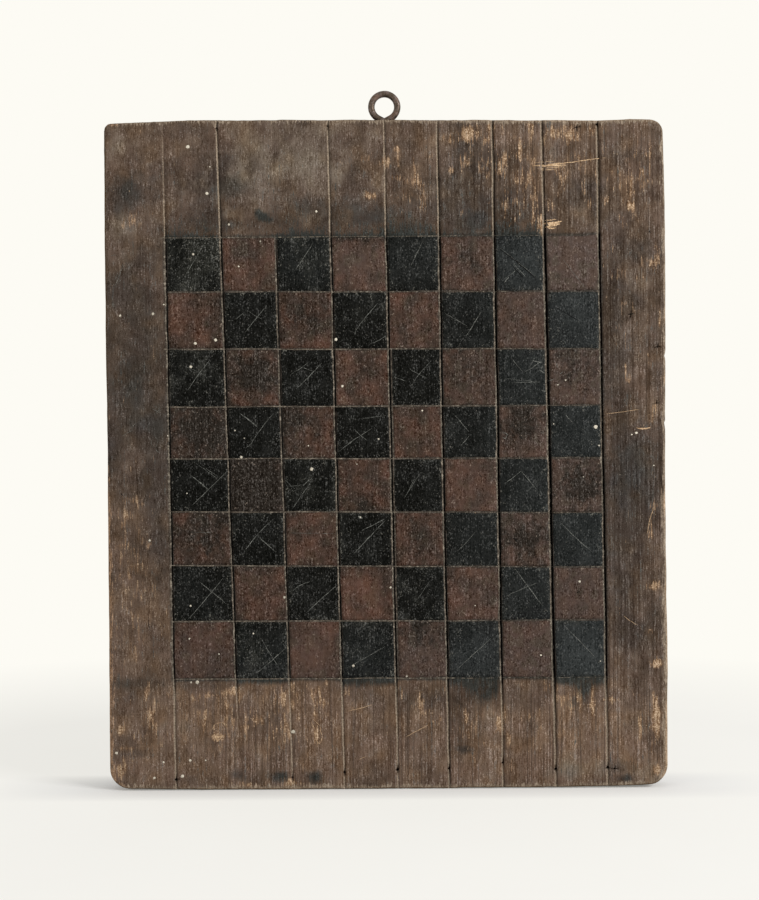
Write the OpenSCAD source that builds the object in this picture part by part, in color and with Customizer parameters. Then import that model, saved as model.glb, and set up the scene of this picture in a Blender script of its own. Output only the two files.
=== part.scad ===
// A hand-made checkerboard: one wide plank, scored into 64 squares that are painted black and
// red, with an iron screw eye in its top edge to hang it by.
// It stands upright: +Z is up along the grain, the painted face looks towards -Y, and the
// origin is at the middle of the foot, half way through the depth.

/* [Board] */
// Width of the plank, across the grain
board_w = 358; // [320:1:400]
// Height of the plank, along the grain
board_h = 427; // [400:1:480]
// Thickness of the plank
board_t = 20; // [17:0.5:26]
// Radius of the corner at the top left, the least worn of the four
top_left_r = 4.5; // [3.5:0.5:16]
// Radius of the corner at the top right
top_right_r = 8; // [3.5:0.5:16]
// Radius of the two corners at the foot, knocked rounder than the top ones
foot_corner_r = 12; // [3.5:0.5:16]
// Radius that handling has worn on to the arrises
arris_r = 2.5; // [1:0.5:3]

/* [Playing field] */
// Even width of a square, across the grain
square_w = 34.5; // [30:0.1:36]
// Even height of a square, along the grain
square_h = 35.2; // [30:0.1:38]
// Bare margin from the top edge down to the first cross line
top_margin = 75; // [60:1:90]
// How far each long line stands to the right of its even place, left line first
line_shift = [-0.1, 2.8, 2.7, 2.5, 2.9, 1.5, 1.8, -0.1, -0.5]; // [-5:0.1:5]
// How far each long line leans to the left as it climbs, in degrees
line_lean = [0.8, 1.7, 1.5, 1.1, 0.9, 0.7, 0.6, 0.9, 0.6]; // [-2:0.1:2]
// How far each cross line stands above its even place, top line first
cross_shift = [0, 0, -1.3, -2.5, -0.6, 0.5, 1.2, 1.7, 0.3]; // [-3:0.1:3]
// How far each cross line falls to the right, in degrees
cross_lean = [-0.1, 0.2, 0.3, 0.1, 0.2, 0.4, 0.5, 0.1, 0.1]; // [-1:0.1:1]

/* [Scored cuts] */
// Width of a long cut at the face
long_cut_w = 1.8; // [1:0.1:3]
// Depth of a long cut
long_cut_d = 1.6; // [0.6:0.1:2.5]
// Width of a cross cut at the face
cross_cut_w = 1.2; // [0.6:0.1:2.5]
// Depth of a cross cut
cross_cut_d = 0.8; // [0.4:0.1:2]
// How far a cross cut runs out past the outer long lines
cross_overrun = 2; // [0.5:0.5:10]

/* [Layout pricks] */
// Width of the awl pricks that the straightedge was set against
prick_d = 1.6; // [0.8:0.1:2.4]
// Depth of a prick
prick_depth = 4; // [2.5:0.5:8]
// Height of the prick on each long line above the foot, 0 where a line has none
foot_prick = [6, 0, 7.5, 10, 12, 12, 16, 11.5, 12]; // [0:0.5:20]
// Distance of the prick on each long line below the top edge, 0 where a line has none
top_prick = [0, 5.5, 0, 4.5, 0, 0, 0, 0, 4.5]; // [0:0.5:20]

/* [Paint] */
// Thickness of the paint on the squares
paint_t = 0.15; // [0.1:0.05:0.3]
// Bare strip between a square's paint and the shoulder of the cut beside it
paint_gap = 0.1; // [0.05:0.05:0.5]

/* [Screw eye] */
// Thickness of the wire
wire_d = 4.3; // [3:0.1:5]
// Width of the hole in the loop
loop_hole_d = 12.4; // [10:0.1:16]
// Slope of the two sides of the throat above level, in degrees
throat_slope = 28; // [20:1:40]
// Thickness of the throat, where the end of the wire closes on the neck
throat_d = 5; // [4.8:0.1:6]
// How far the underside of the loop has bitten into the end grain
loop_bite = 1.2; // [0.2:0.1:2]
// Length of the shank, from the throat to its point
shank_l = 28; // [20:1:40]
// Length of the gimlet point at the end of the shank
point_l = 6; // [3:0.5:10]
// Clearance between the eye and the wood round it
eye_gap = 0.1; // [0.05:0.05:0.3]

/* [Hidden] */
$fn = 40;
overcut = 1;
squares = len(line_shift) - 1;
point_end_d = 0.6;

// The paint is the foremost thing and the back of the plank the rearmost: the two lie at
// equal distances from the origin.
painted_y = -(board_t + paint_t) / 2;
face_y = painted_y + paint_t;
mid_y = face_y + board_t / 2;

field_top_z = board_h - top_margin;
field_mid_z = field_top_z - squares * square_h / 2;

loop_r = (loop_hole_d + wire_d) / 2;
loop_z = board_h - loop_bite + loop_r + wire_d / 2;
throat_drop = loop_r / cos(throat_slope);
leg_l = loop_r * tan(throat_slope);

// Place across the board of long line i, at height z
function line_x(i, z) =
    (i - squares / 2) * square_w + line_shift[i] - (z - field_mid_z) * tan(line_lean[i]);
// Height of cross line j, at place x across the board
function cross_z(j, x) = field_top_z - j * square_h + cross_shift[j] - x * tan(cross_lean[j]);
// Place across the board where long line i meets cross line j
function crossing_x(i, j) =
    (line_x(i, 0) - tan(line_lean[i]) * cross_z(j, 0)) / (1 - tan(line_lean[i]) * tan(cross_lean[j]));

// Rectangle of size a by b from the origin, with its four corners turned to radius r
module eased_rectangle(a, b, r) {
    translate([r, 0]) square([a - 2 * r, b]);
    translate([0, r]) square([a, b - 2 * r]);
    for (x = [r, a - r], y = [r, b - r]) translate([x, y]) circle(r);
}

// Half section of a disc as thick as the plank, with worn arrises at its rim
module rim_section(r) {
    intersection() {
        translate([-r, 0]) eased_rectangle(2 * r, board_t, arris_r);
        square([r, board_t]);
    }
}

// What is lost outside a rounded corner: the corner points to +X and +Z and is at the origin
module corner_waste(r) {
    difference() {
        translate([-r, -overcut, -r])
            cube([r + overcut, board_t + 2 * overcut, r + overcut]);
        translate([-r, 0, -r]) rotate([-90, 0, 0]) rotate_extrude() rim_section(r);
    }
}

// The plank before anything is cut into it
module blank() {
    difference() {
        intersection() {
            translate([-board_w / 2, 0, 0])
                linear_extrude(board_h) eased_rectangle(board_w, board_t, arris_r);
            translate([-board_w / 2, 0, 0]) rotate([90, 0, 90])
                linear_extrude(board_w) eased_rectangle(board_t, board_h, arris_r);
        }
        translate([board_w / 2, 0, board_h]) corner_waste(top_right_r);
        translate([-board_w / 2, 0, board_h]) mirror([1, 0, 0]) corner_waste(top_left_r);
        for (side = [0, 1]) mirror([side, 0, 0])
            translate([board_w / 2, 0, 0]) mirror([0, 0, 1]) corner_waste(foot_corner_r);
    }
}

// A V cut of width w and depth d that starts at the origin and runs up for length l
module v_cut(w, d, l) {
    mouth = w / 2 * (1 + overcut / d);
    linear_extrude(l) polygon([[-mouth, -overcut], [mouth, -overcut], [0, d]]);
}

// The long lines, scored from end to end of the plank
module long_cuts() {
    for (i = [0 : squares])
        translate([line_x(i, field_mid_z), 0, field_mid_z]) rotate([0, -line_lean[i], 0])
            translate([0, 0, -board_h]) v_cut(long_cut_w, long_cut_d, 2 * board_h);
}

// The cross lines, scored only across the playing field
module cross_cuts() {
    for (j = [0 : squares]) {
        start_x = crossing_x(0, j) - cross_overrun;
        end_x = crossing_x(squares, j) + cross_overrun;
        translate([start_x, 0, cross_z(j, start_x)]) rotate([0, 90 + cross_lean[j], 0])
            v_cut(cross_cut_w, cross_cut_d, (end_x - start_x) / cos(cross_lean[j]));
    }
}

// One awl prick in the face
module prick(x, z) {
    translate([x, -overcut, z]) rotate([-90, 0, 0])
        cylinder(d = prick_d, h = prick_depth + overcut, $fn = 16);
}

// The pricks near the ends of the long lines
module pricks() {
    for (i = [0 : squares]) {
        if (foot_prick[i] > 0) prick(line_x(i, foot_prick[i]), foot_prick[i]);
        if (top_prick[i] > 0) prick(line_x(i, board_h - top_prick[i]), board_h - top_prick[i]);
    }
}

// Half of the loop, with the straight end that runs from it down to the throat
module half_loop(wire_r) {
    rotate([90, 0, 0]) rotate([0, 0, throat_slope - 90]) {
        rotate_extrude(angle = 180 - throat_slope) translate([loop_r, 0]) circle(wire_r, $fn = 24);
        translate([loop_r, 0, 0]) rotate([90, 0, 0]) cylinder(r = wire_r, h = leg_l, $fn = 24);
    }
}

// The shank, turned with its gimlet point, from the origin down
module shank(grow) {
    wire_r = wire_d / 2 + grow;
    tip_z = -shank_l - grow;
    rotate_extrude($fn = 24) polygon([
        [0, tip_z],
        [point_end_d / 2 + grow, tip_z],
        [wire_r, point_l - shank_l],
        [wire_r, 0],
        [0, 0]
    ]);
}

// The eye, with every surface moved out by grow
module eye_form(grow) {
    translate([0, mid_y, loop_z]) {
        for (side = [0, 1]) mirror([side, 0, 0]) half_loop(wire_d / 2 + grow);
        translate([0, 0, -throat_drop]) {
            sphere(throat_d / 2 + grow, $fn = 32);
            shank(grow);
        }
    }
}

// The plank, scored, pricked, and bored for the eye
module plank() {
    color([0.36, 0.28, 0.21]) difference() {
        translate([0, face_y, 0]) difference() {
            blank();
            long_cuts();
            cross_cuts();
            pricks();
        }
        eye_form(eye_gap);
    }
}

// The coat of paint on the square in column i from the left and row j from the top
module painted_square(i, j) {
    side_gap = long_cut_w / 2 + paint_gap;
    end_gap = cross_cut_w / 2 + paint_gap;
    translate([0, face_y, 0]) rotate([90, 0, 0]) linear_extrude(paint_t) polygon([
        for (corner = [[0, 1], [1, 1], [1, 0], [0, 0]])
            let (x = crossing_x(i + corner[0], j + corner[1]))
                [x + (1 - 2 * corner[0]) * side_gap,
                 cross_z(j + corner[1], x) + (2 * corner[1] - 1) * end_gap]
    ]);
}

// Every second square, with parity 0 for those that match the top left one
module squares_of(parity) {
    for (i = [0 : squares - 1], j = [0 : squares - 1])
        if ((i + j) % 2 == parity) painted_square(i, j);
}

// The black squares; the top left one is black
module black_squares() {
    color([0.13, 0.13, 0.13]) squares_of(0);
}

// The red squares
module red_squares() {
    color([0.36, 0.20, 0.17]) squares_of(1);
}

// The iron screw eye
module screw_eye() {
    color([0.30, 0.29, 0.29]) eye_form(0);
}

plank();
black_squares();
red_squares();
screw_eye();
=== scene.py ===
import math

import bpy
import numpy as np
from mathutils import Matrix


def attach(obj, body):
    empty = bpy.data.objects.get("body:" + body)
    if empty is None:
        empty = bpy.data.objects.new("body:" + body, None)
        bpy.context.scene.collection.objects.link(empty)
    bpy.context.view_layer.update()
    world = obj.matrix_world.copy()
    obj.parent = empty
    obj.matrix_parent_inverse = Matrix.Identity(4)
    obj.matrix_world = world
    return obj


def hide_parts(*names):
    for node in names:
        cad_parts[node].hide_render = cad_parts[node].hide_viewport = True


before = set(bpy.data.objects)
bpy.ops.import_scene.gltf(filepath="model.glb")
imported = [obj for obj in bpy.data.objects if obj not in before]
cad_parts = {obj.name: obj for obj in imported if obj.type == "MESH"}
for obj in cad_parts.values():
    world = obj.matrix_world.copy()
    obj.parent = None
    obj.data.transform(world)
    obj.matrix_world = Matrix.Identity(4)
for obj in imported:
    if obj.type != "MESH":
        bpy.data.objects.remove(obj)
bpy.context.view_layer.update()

# Lengths below are millimetres, in the frame of the part's source; meshes are made in metres.
MM = 0.001
BOARD_TOP = 427.0
FACE_Y = -9.925
BACK_Y = 10.075
THICKNESS = 20.0
PAINTED_Y = -10.075
ARRIS = 2.5
FOOT_CORNER = 12.0
TOP_LEFT_CORNER = 4.5
TOP_RIGHT_CORNER = 8.0

# The scored grid: nine long lines from the left, nine cross lines from the top.
SQUARE_W = 34.5
SQUARE_H = 35.2
FIELD_TOP = 352.0
FIELD_MID = 212.0
LINE_SHIFT = [-0.1, 2.8, 2.7, 2.5, 2.9, 1.5, 1.8, -0.1, -0.5]
LINE_LEAN = np.radians([0.8, 1.7, 1.5, 1.1, 0.9, 0.7, 0.6, 0.9, 0.6])
CROSS_SHIFT = [0, 0, -1.3, -2.5, -0.6, 0.5, 1.2, 1.7, 0.3]
CROSS_LEAN = np.radians([-0.1, 0.2, 0.3, 0.1, 0.2, 0.4, 0.5, 0.1, 0.1])
LINE_HALF_WIDTH = [0.95, 0.95, 0.9, 0.95, 1.0, 1.05, 1.1, 1.3, 1.1]
LINE_DEPTH = [0.8, 0.8, 0.7, 0.8, 1.0, 1.3, 1.9, 2.2, 1.9]
# How strongly each long line is cut at the heights of LINE_KNOTS, foot to top.
LINE_KNOTS = [0, 30, 70, 200, 340, 360, 400, 427]
LINE_STRENGTH = [
    [0.9, 1.0, 1.0, 1.0, 1.0, 0.7, 0.45, 0.4],
    [0.1, 0.3, 0.9, 1.0, 1.0, 1.1, 1.1, 0.9],
    [0.7, 0.8, 0.9, 0.9, 0.8, 0.2, 0.1, 0.1],
    [0.8, 1.0, 1.0, 1.0, 1.0, 0.9, 0.9, 0.8],
    [0.7, 0.9, 1.0, 1.0, 1.0, 0.8, 0.7, 0.6],
    [0.8, 1.0, 1.0, 1.0, 1.0, 0.9, 0.9, 0.8],
    [0.6, 0.6, 0.9, 1.1, 1.0, 1.0, 1.0, 1.0],
    [0.6, 0.7, 1.1, 1.2, 1.1, 0.8, 0.7, 0.7],
    [0.6, 0.7, 1.1, 1.2, 1.1, 1.0, 0.9, 0.9],
]
# Per long line: how much pale dust with a painted highlight, and how much painted shade, its cut takes.
LINE_DUST_AND_GLINT = [1.05, 1.0, 0.95, 1.0, 1.0, 1.05, 1.2, 1.2, 1.5]
CUT_DARK = [0.8, 0.85, 0.75, 0.8, 0.8, 0.95, 1.0, 1.15, 0.85]
# How dark the painted shade in the cuts is at heights, and partly how deep they are: least where
# the wood beside them is bare.
DARK_KNOTS = ([0, 25, 60, 75, 350, 362, 400, 427], [0.75, 0.65, 0.65, 1.0, 1.0, 0.8, 0.65, 0.8])
# How far the pale dust, with its painted highlight, fills the cuts at heights: most beyond the squares.
FILL_KNOTS = ([0, 55, 74, 350, 364, 427], [1.0, 1.0, 0.0, 0.0, 0.8, 0.8])
# Above and below the squares at heights, where the pale dust and painted highlight in the cuts are
# warmer and closed up.
BEYOND_KNOTS = ([55, 75, 351, 357], [1.0, 0.0, 0.0, 1.0])
# Across a cut, from its left shoulder to its right one: depth, painted shade, and pale dust with a
# painted highlight on its left wall, which faces the lamp, where the dust is thin and where it fills the
# cut.
CUT_STATIONS = np.array([-1.0, -0.5, -0.1, 0.75, 1.0])
CUT_PROFILE = np.array([0.0, 0.15, 0.9, 1.0, 0.0])
CUT_SHADE = np.array([0.0, 0.0, 0.95, 1.0, 0.2])
CUT_DUST_AND_GLINT = np.array([0.35, 1.0, 0.3, 0.0, 0.0])
CUT_FILL = np.array([0.15, 1.0, 0.9, 0.0, 0.0])
CROSS_HALF_WIDTH = 0.45
CROSS_DEPTH = 0.4
CROSS_STATIONS = np.array([-1.0, 0.0, 1.0])
CROSS_PROFILE = np.array([0.0, 1.0, 0.0])
CROSS_SHADE = np.array([0.0, 0.3, 0.5])
# How pale a cross line's dust, with its painted highlight, is and how dark the painted shade on its
# upper side is, at places across, and how far it runs past the outer long lines.
CROSS_PALE = ([0, 60, 140], [1.0, 0.55, 0.45])
CROSS_DARK = ([-140, 0, 80, 140], [0.1, 0.25, 0.6, 0.5])
CROSS_OVERRUN = 2
# The slip of the knife beside the fifth line: how far right of it, at heights.
SLIP_LINE = 4
SLIP_KNOTS = [60, 120, 280, 300]
SLIP_OFFSET = [1.3, 1.3, 1.5, 1.7]
SLIP_STRENGTH = [0.0, 1.0, 0.8, 0.0]
SLIP_HALF_WIDTH = 0.4
SLIP_DEPTH = 0.6
SLIP_DUST_AND_GLINT = np.array([0.2, 0.9, 0.1])

# The uneven outline: how far out the left and right edges lie at heights, and how high the foot
# edge and the top edge lie along the board.
LEFT_Z = [0, 40, 110, 235, 270, 310, 350, 427]
LEFT_OUT = [177.7, 177.7, 177.8, 178.0, 178.5, 178.8, 179.0, 179.0]
RIGHT_Z = [0, 80, 130, 185, 235, 285, 335, 370, 395, 412, 427]
RIGHT_OUT = [178.0, 178.5, 178.0, 177.7, 178.0, 178.4, 178.7, 178.5, 178.1, 177.6, 177.3]
FOOT_X = [-179, -164, -119, -70, -27, 42, 105, 141, 172, 179]
FOOT_Z = [1.8, 0.8, 0.1, 0.0, 0.0, 0.2, 0.4, 0.8, 1.8, 2.4]
TOP_X = [-179, -170, -141, -116, 0, 137, 156, 179]
TOP_Z = [424.9, 425.3, 426.1, 426.9, 426.5, 425.2, 425.8, 425.6]
EDGE_ANGLES = np.radians([0, 22.5, 45, 67.5, 90])
EDGE_STATIONS = ARRIS * (1 - np.cos(EDGE_ANGLES))
# The foot edge is ragged this far out, and the right edge has notches (height, depth, reach).
FOOT_RAGGED = 176
RIGHT_NOTCHES = [(232, 0.8, 1.3), (276, 0.6, 1.6)]

# Width of the strip along each edge that is rubbed pale, at places along it, and of the lines of
# painted shade along the upper left arris and the foot.
LEFT_STRIP = ([0, 10, 60, 90, 190, 205, 215, 427], [2.6, 2.8, 2.7, 2.5, 2.4, 1.2, -0.4, -0.6])
RIGHT_STRIP = (
    [0, 10, 52, 64, 70, 80, 85, 120, 127, 133, 172, 180, 188, 215, 252, 260, 268, 290, 300, 310, 330, 427],
    [3, 4.4, 4, 2, 2.6, 3.6, 3.2, 3.2, 3.8, 2.6, 3, 4.6, 3, 2.2, 2.2, 3.8, 2.2, 2.2, 3.4, 2.2, 2.4, 2.2],
)
FOOT_STRIP = ([-179, -165, -155, -130, -120, -60, -30, 60, 150, 179],
              [1.8, 3.2, 3.0, 2.0, 3.2, 3.5, 3.1, 3.1, 2.9, 2.4])
TOP_STRIP = ([-179, -150, -60, -40, 30, 60, 110, 179], [1.8, 2.2, 2.0, 2.4, 2.4, 2.8, 3.2, 2.6])
LEFT_SHADOW = ([0, 200, 240, 427], [-1.0, -0.5, 0.9, 1.2])
FOOT_SHADOW = 0.95

# Awl pricks at the ends of lines (line, height, radius) and elsewhere (across, height, radius).
LINE_PRICKS = [
    (0, 7, 1.1), (2, 8, 0.7), (3, 11, 1), (4, 12.5, 1.1), (5, 13, 0.9), (6, 16.5, 0.8), (7, 12.2, 1.1),
    (8, 13, 1.2), (1, 421.5, 0.6), (3, 422.5, 0.7), (8, 422.5, 1),
]
PLAIN_PRICKS = [
    (122.3, 420.8, 0.8), (144.1, 12.2, 0.8), (121.3, 124.5, 0.7), (172, 244.8, 0.6), (156.1, 301.5, 0.7),
    (173, 280.6, 0.6),
]
PRICK_DEPTH = 3.5
PRICK_SPREAD = 0.8

# Even grid cells across each margin and each square, up each square, and above and below them.
CELLS_MARGIN = 20
CELLS_SQUARE = 18
CELLS_SQUARE_TALL = 18
CELLS_HEAD = 34
CELLS_FOOT = 34
# Rows of points between front and back, how much less the back's edges are rubbed, and how far the
# back's wear is moved off the front's.
RIM_ROWS = 5
BACK_LESS_RUBBED = 1.6
BACK_SHIFT = 400
# Dirt between the squares reaches this far past them.
SOIL_REACH = 3
# The painted field, where marks stand on paint: half its width, its foot and its top.
PAINTED_HALF = 138
PAINTED_FOOT = 71
PAINTED_TOP = 353
# Knots each way in a noise's lattice, after which it repeats, and where the foot's middle lies in it.
NOISE_KNOTS = 64
NOISE_START = (40.5, 20.5)


def value_noise(x, z, size_x, size_z, seed):
    """A smooth random field from 0 to 1: seeded random heights on a lattice with one knot every
    size_x by size_z, joined between the knots by the weight t*t*(3-2t)."""
    knots = np.random.default_rng(seed).random((NOISE_KNOTS, NOISE_KNOTS))
    u = np.asarray(x) / size_x + NOISE_START[0]
    v = np.asarray(z) / size_z + NOISE_START[1]
    iu, iv = np.floor(u).astype(int), np.floor(v).astype(int)
    tu, tv = u - iu, v - iv
    tu, tv = tu * tu * (3 - 2 * tu), tv * tv * (3 - 2 * tv)
    left, right = iu % NOISE_KNOTS, (iu + 1) % NOISE_KNOTS
    down, up = iv % NOISE_KNOTS, (iv + 1) % NOISE_KNOTS
    low = knots[left, down] * (1 - tu) + knots[right, down] * tu
    high = knots[left, up] * (1 - tu) + knots[right, up] * tu
    return low * (1 - tv) + high * tv


def line_noise(places, size, seed):
    """The same noise along one line, with one knot every size."""
    return value_noise(places, 0 * places, size, 1, seed)


def spot_levels(x, z, spots):
    """How strong each soft spot is at each point: strength * exp(-(dx/rx)^2 - (dz/rz)^2)."""
    across, height, reach_x, reach_z, strength = np.array(spots, dtype=float).T[:, :, None]
    return strength * np.exp(-(((x - across) / reach_x) ** 2) - ((z - height) / reach_z) ** 2)


def strongest(x, z, spots):
    """The strongest of several soft spots at each point."""
    return spot_levels(x, z, spots).max(axis=0)


def added_up(x, z, spots):
    """The sum of several soft spots at each point."""
    return spot_levels(x, z, spots).sum(axis=0)


def side_edge(z, side):
    """Where the board ends at height z: straight runs between measured knots, less a small ragged
    bite and, on the right, the notches; times the side (-1 left, 1 right)."""
    half = np.interp(z, LEFT_Z, LEFT_OUT) if side < 0 else np.interp(z, RIGHT_Z, RIGHT_OUT)
    bite = 0.25 * line_noise(z, 9, 11 + side) + 0.12 * line_noise(z, 2.5, 13 + side)
    for height, deep, reach in RIGHT_NOTCHES if side > 0 else []:
        bite = bite + deep * np.exp(-(((z - height) / reach) ** 2))
    return side * (half - bite)


def foot_edge(x):
    """The foot's height along the board: straight runs between measured knots, plus a ragged bite."""
    return np.interp(x, FOOT_X, FOOT_Z) + 0.3 * line_noise(x, 6, 21) * (np.abs(x) < FOOT_RAGGED)


def top_edge(x):
    """The top's height along the board: straight runs between measured knots, less a ragged bite."""
    bite = 0.5 * line_noise(x, 7, 23) + 0.25 * line_noise(x, 2.6, 24)
    return np.interp(x, TOP_X, TOP_Z) + 0.35 - bite


def line_x(i, z):
    """A long line's place at height z: its spacing and shift, its lean about the field's middle, and
    a small wander of the knife."""
    wander = 0.5 * (line_noise(z, 24, 40 + i) - 0.5) + 0.3 * (line_noise(z, 7, 50 + i) - 0.5)
    return (i - 4) * SQUARE_W + LINE_SHIFT[i] - (z - FIELD_MID) * math.tan(LINE_LEAN[i]) + wander


def cross_z(j, x):
    """A cross line's height at place x: its spacing and shift, its fall to the right, and a small
    wander of the knife."""
    wander = 0.5 * (line_noise(x, 22, 60 + j) - 0.5)
    return FIELD_TOP - j * SQUARE_H + CROSS_SHIFT[j] - x * math.tan(CROSS_LEAN[j]) + wander


def between(low, high, cells):
    """Evenly spaced places strictly between two edges that may vary along the other axis."""
    t = np.arange(1, cells) / cells
    return low[:, None] * (1 - t) + high[:, None] * t


def grid_places(low, high, grooves, last_cells):
    """Places of the grid's lines from edge to edge: the arris at low, groove by groove even cells and
    the stations of its cut, even cells once more, and the arris at high. A groove is its middle, half
    width, stations and the cells before it. Returns the places and each groove's first one."""
    parts = [low[:, None] + EDGE_STATIONS]
    edge = low + ARRIS
    starts = []
    for middle, half_width, stations, cells in grooves:
        parts.append(between(edge, middle - half_width, cells))
        starts.append(sum(part.shape[1] for part in parts))
        parts.append(middle[:, None] + half_width * stations)
        edge = middle + half_width
    parts.append(between(edge, high - ARRIS, last_cells))
    parts.append(high[:, None] - EDGE_STATIONS[::-1])
    return np.concatenate(parts, axis=1), starts


def column_places(z):
    """Place of every grid column at each height: the nine long lines, with the slip of the knife
    straight after the fifth. Returns the places, each cut's first column and the slip's."""
    grooves = []
    for i in range(9):
        grooves.append((line_x(i, z), LINE_HALF_WIDTH[i], CUT_STATIONS, CELLS_SQUARE if i else CELLS_MARGIN))
    slip = grooves[SLIP_LINE][0] + np.interp(z, SLIP_KNOTS, SLIP_OFFSET)
    grooves.insert(SLIP_LINE + 1, (slip, SLIP_HALF_WIDTH, CROSS_STATIONS, 1))
    places, starts = grid_places(side_edge(z, -1), side_edge(z, 1), grooves, CELLS_MARGIN + 1)
    slip_start = starts.pop(SLIP_LINE + 1)
    return places, starts, slip_start


def row_places(x):
    """Height of every grid row at each place across, with the nine cross lines from the lowest up.
    Returns the heights and each cross line's first row."""
    order = range(8, -1, -1)
    grooves = [
        (cross_z(j, x), CROSS_HALF_WIDTH, CROSS_STATIONS, CELLS_FOOT if j == 8 else CELLS_SQUARE_TALL)
        for j in order
    ]
    places, starts = grid_places(foot_edge(x), top_edge(x), grooves, CELLS_HEAD)
    return places, dict(zip(order, starts))


def round_corners(x, z, left, right, foot, top):
    """Rounds the four corners: inside a corner's square the point at (a, b) from the arc's centre is
    drawn in by max(a, b) / hypot(a, b), which turns the square into a quarter disc."""
    for side, edge in ((-1, left), (1, right)):
        for up, end in ((-1, foot), (1, top)):
            radius = FOOT_CORNER if up < 0 else (TOP_LEFT_CORNER if side < 0 else TOP_RIGHT_CORNER)
            a = radius - side * (edge - x)
            b = radius - up * (end - z)
            inside = (a > 0) & (b > 0)
            pull = np.where(inside, np.maximum(a, b) / np.maximum(np.hypot(a, b), 1e-6), 1.0)
            x = np.where(inside, x - side * a * (1 - pull), x)
            z = np.where(inside, z - up * b * (1 - pull), z)
    return x, z


def arris_drop(distance, x, z, seed):
    """How far the face falls away near its edge: a quarter circle whose radius is worn unevenly,
    e - sqrt(e^2 - (e - d)^2) for a distance d below e."""
    e = ARRIS * (0.6 + 0.45 * value_noise(x, z, 14, 16, seed))
    reach = np.clip(e - distance, 0, None)
    return e - np.sqrt(np.clip(e * e - reach * reach, 0, None))


def weathering(x, z, seed):
    """Depth lost to age: raised fibres along the grain, slow hollows, and small bruises."""
    fibres = 0.03 + 0.14 * value_noise(x, z, 3.1, 70, seed) ** 2
    hollows = 0.25 * value_noise(x, z, 50, 90, seed + 1)
    bruises = 1.2 * np.clip(value_noise(x, z, 7, 9, seed + 2) - 0.84, 0, None)
    return fibres + hollows + bruises


def field_soil(x, z):
    """Dirt worked in between the squares: 1 in the field, falling evenly to 0 over SOIL_REACH."""
    past_side = np.maximum(line_x(0, z) - x, x - line_x(8, z))
    past_end = np.maximum(cross_z(8, x) - z, z - cross_z(0, x))
    return np.clip(1 - np.maximum(past_side, past_end) / SOIL_REACH, 0, 1)


def on_paint(x, z):
    """Whether a place lies in the painted field."""
    return (np.abs(x) < PAINTED_HALF) & (z > PAINTED_FOOT) & (z < PAINTED_TOP)


def grid_quads(rows, columns, start=0):
    """Faces of a grid whose rows climb and whose columns run to the right, facing the viewer."""
    index = start + np.arange(rows * columns).reshape(rows, columns)
    corners = (index[:-1, :-1], index[:-1, 1:], index[1:, 1:], index[1:, :-1])
    return np.stack(corners, axis=-1).reshape(-1, 4)


def grid_rim(rows, columns):
    """Indices round a grid, from its lower left corner along the foot, up, back and down."""
    index = np.arange(rows * columns).reshape(rows, columns)
    return np.concatenate([index[0, :-1], index[:-1, -1], index[-1, :0:-1], index[:0:-1, 0]])


def band_quads(front, back):
    """Faces of the wall between two closed rings of equal count, outwards for rings that run
    anticlockwise as seen from the front."""
    return np.stack([front, back, np.roll(back, -1), np.roll(front, -1)], axis=-1)


def tube_quads(rings, sides):
    """Faces of a tube of closed rings, then its first ring and its last one as caps."""
    index = np.arange(rings * sides).reshape(rings, sides)
    ahead = np.roll(index, -1, axis=1)
    walls = np.stack([index[:-1], index[1:], ahead[1:], ahead[:-1]], axis=-1).reshape(-1, 4)
    return [walls, index[:1], index[-1:, ::-1]]


def make_mesh(name, points, faces, finish):
    """A mesh object from points in millimetres and faces (arrays of their corners' numbers)."""
    mesh = bpy.data.meshes.new(name)
    mesh.from_pydata((points * MM).tolist(), [], [face for block in faces for face in block.tolist()])
    mesh.materials.append(finish)
    mesh.update()
    made = bpy.data.objects.new(name, mesh)
    bpy.context.scene.collection.objects.link(made)
    return made


def make_piece(name, points, faces, finish, levels=None):
    """A piece of the board: a smooth mesh with named numbers per point that its finish reads."""
    piece = make_mesh(name, points, faces, finish)
    mesh = piece.data
    for key, values in (levels or {}).items():
        layer = mesh.attributes.new(key, "FLOAT", "POINT")
        layer.data.foreach_set("value", np.ascontiguousarray(values, dtype=np.float32).ravel())
    mesh.polygons.foreach_set("use_smooth", [True] * len(mesh.polygons))
    mesh.update()
    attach(piece, "root")
    return piece


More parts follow.
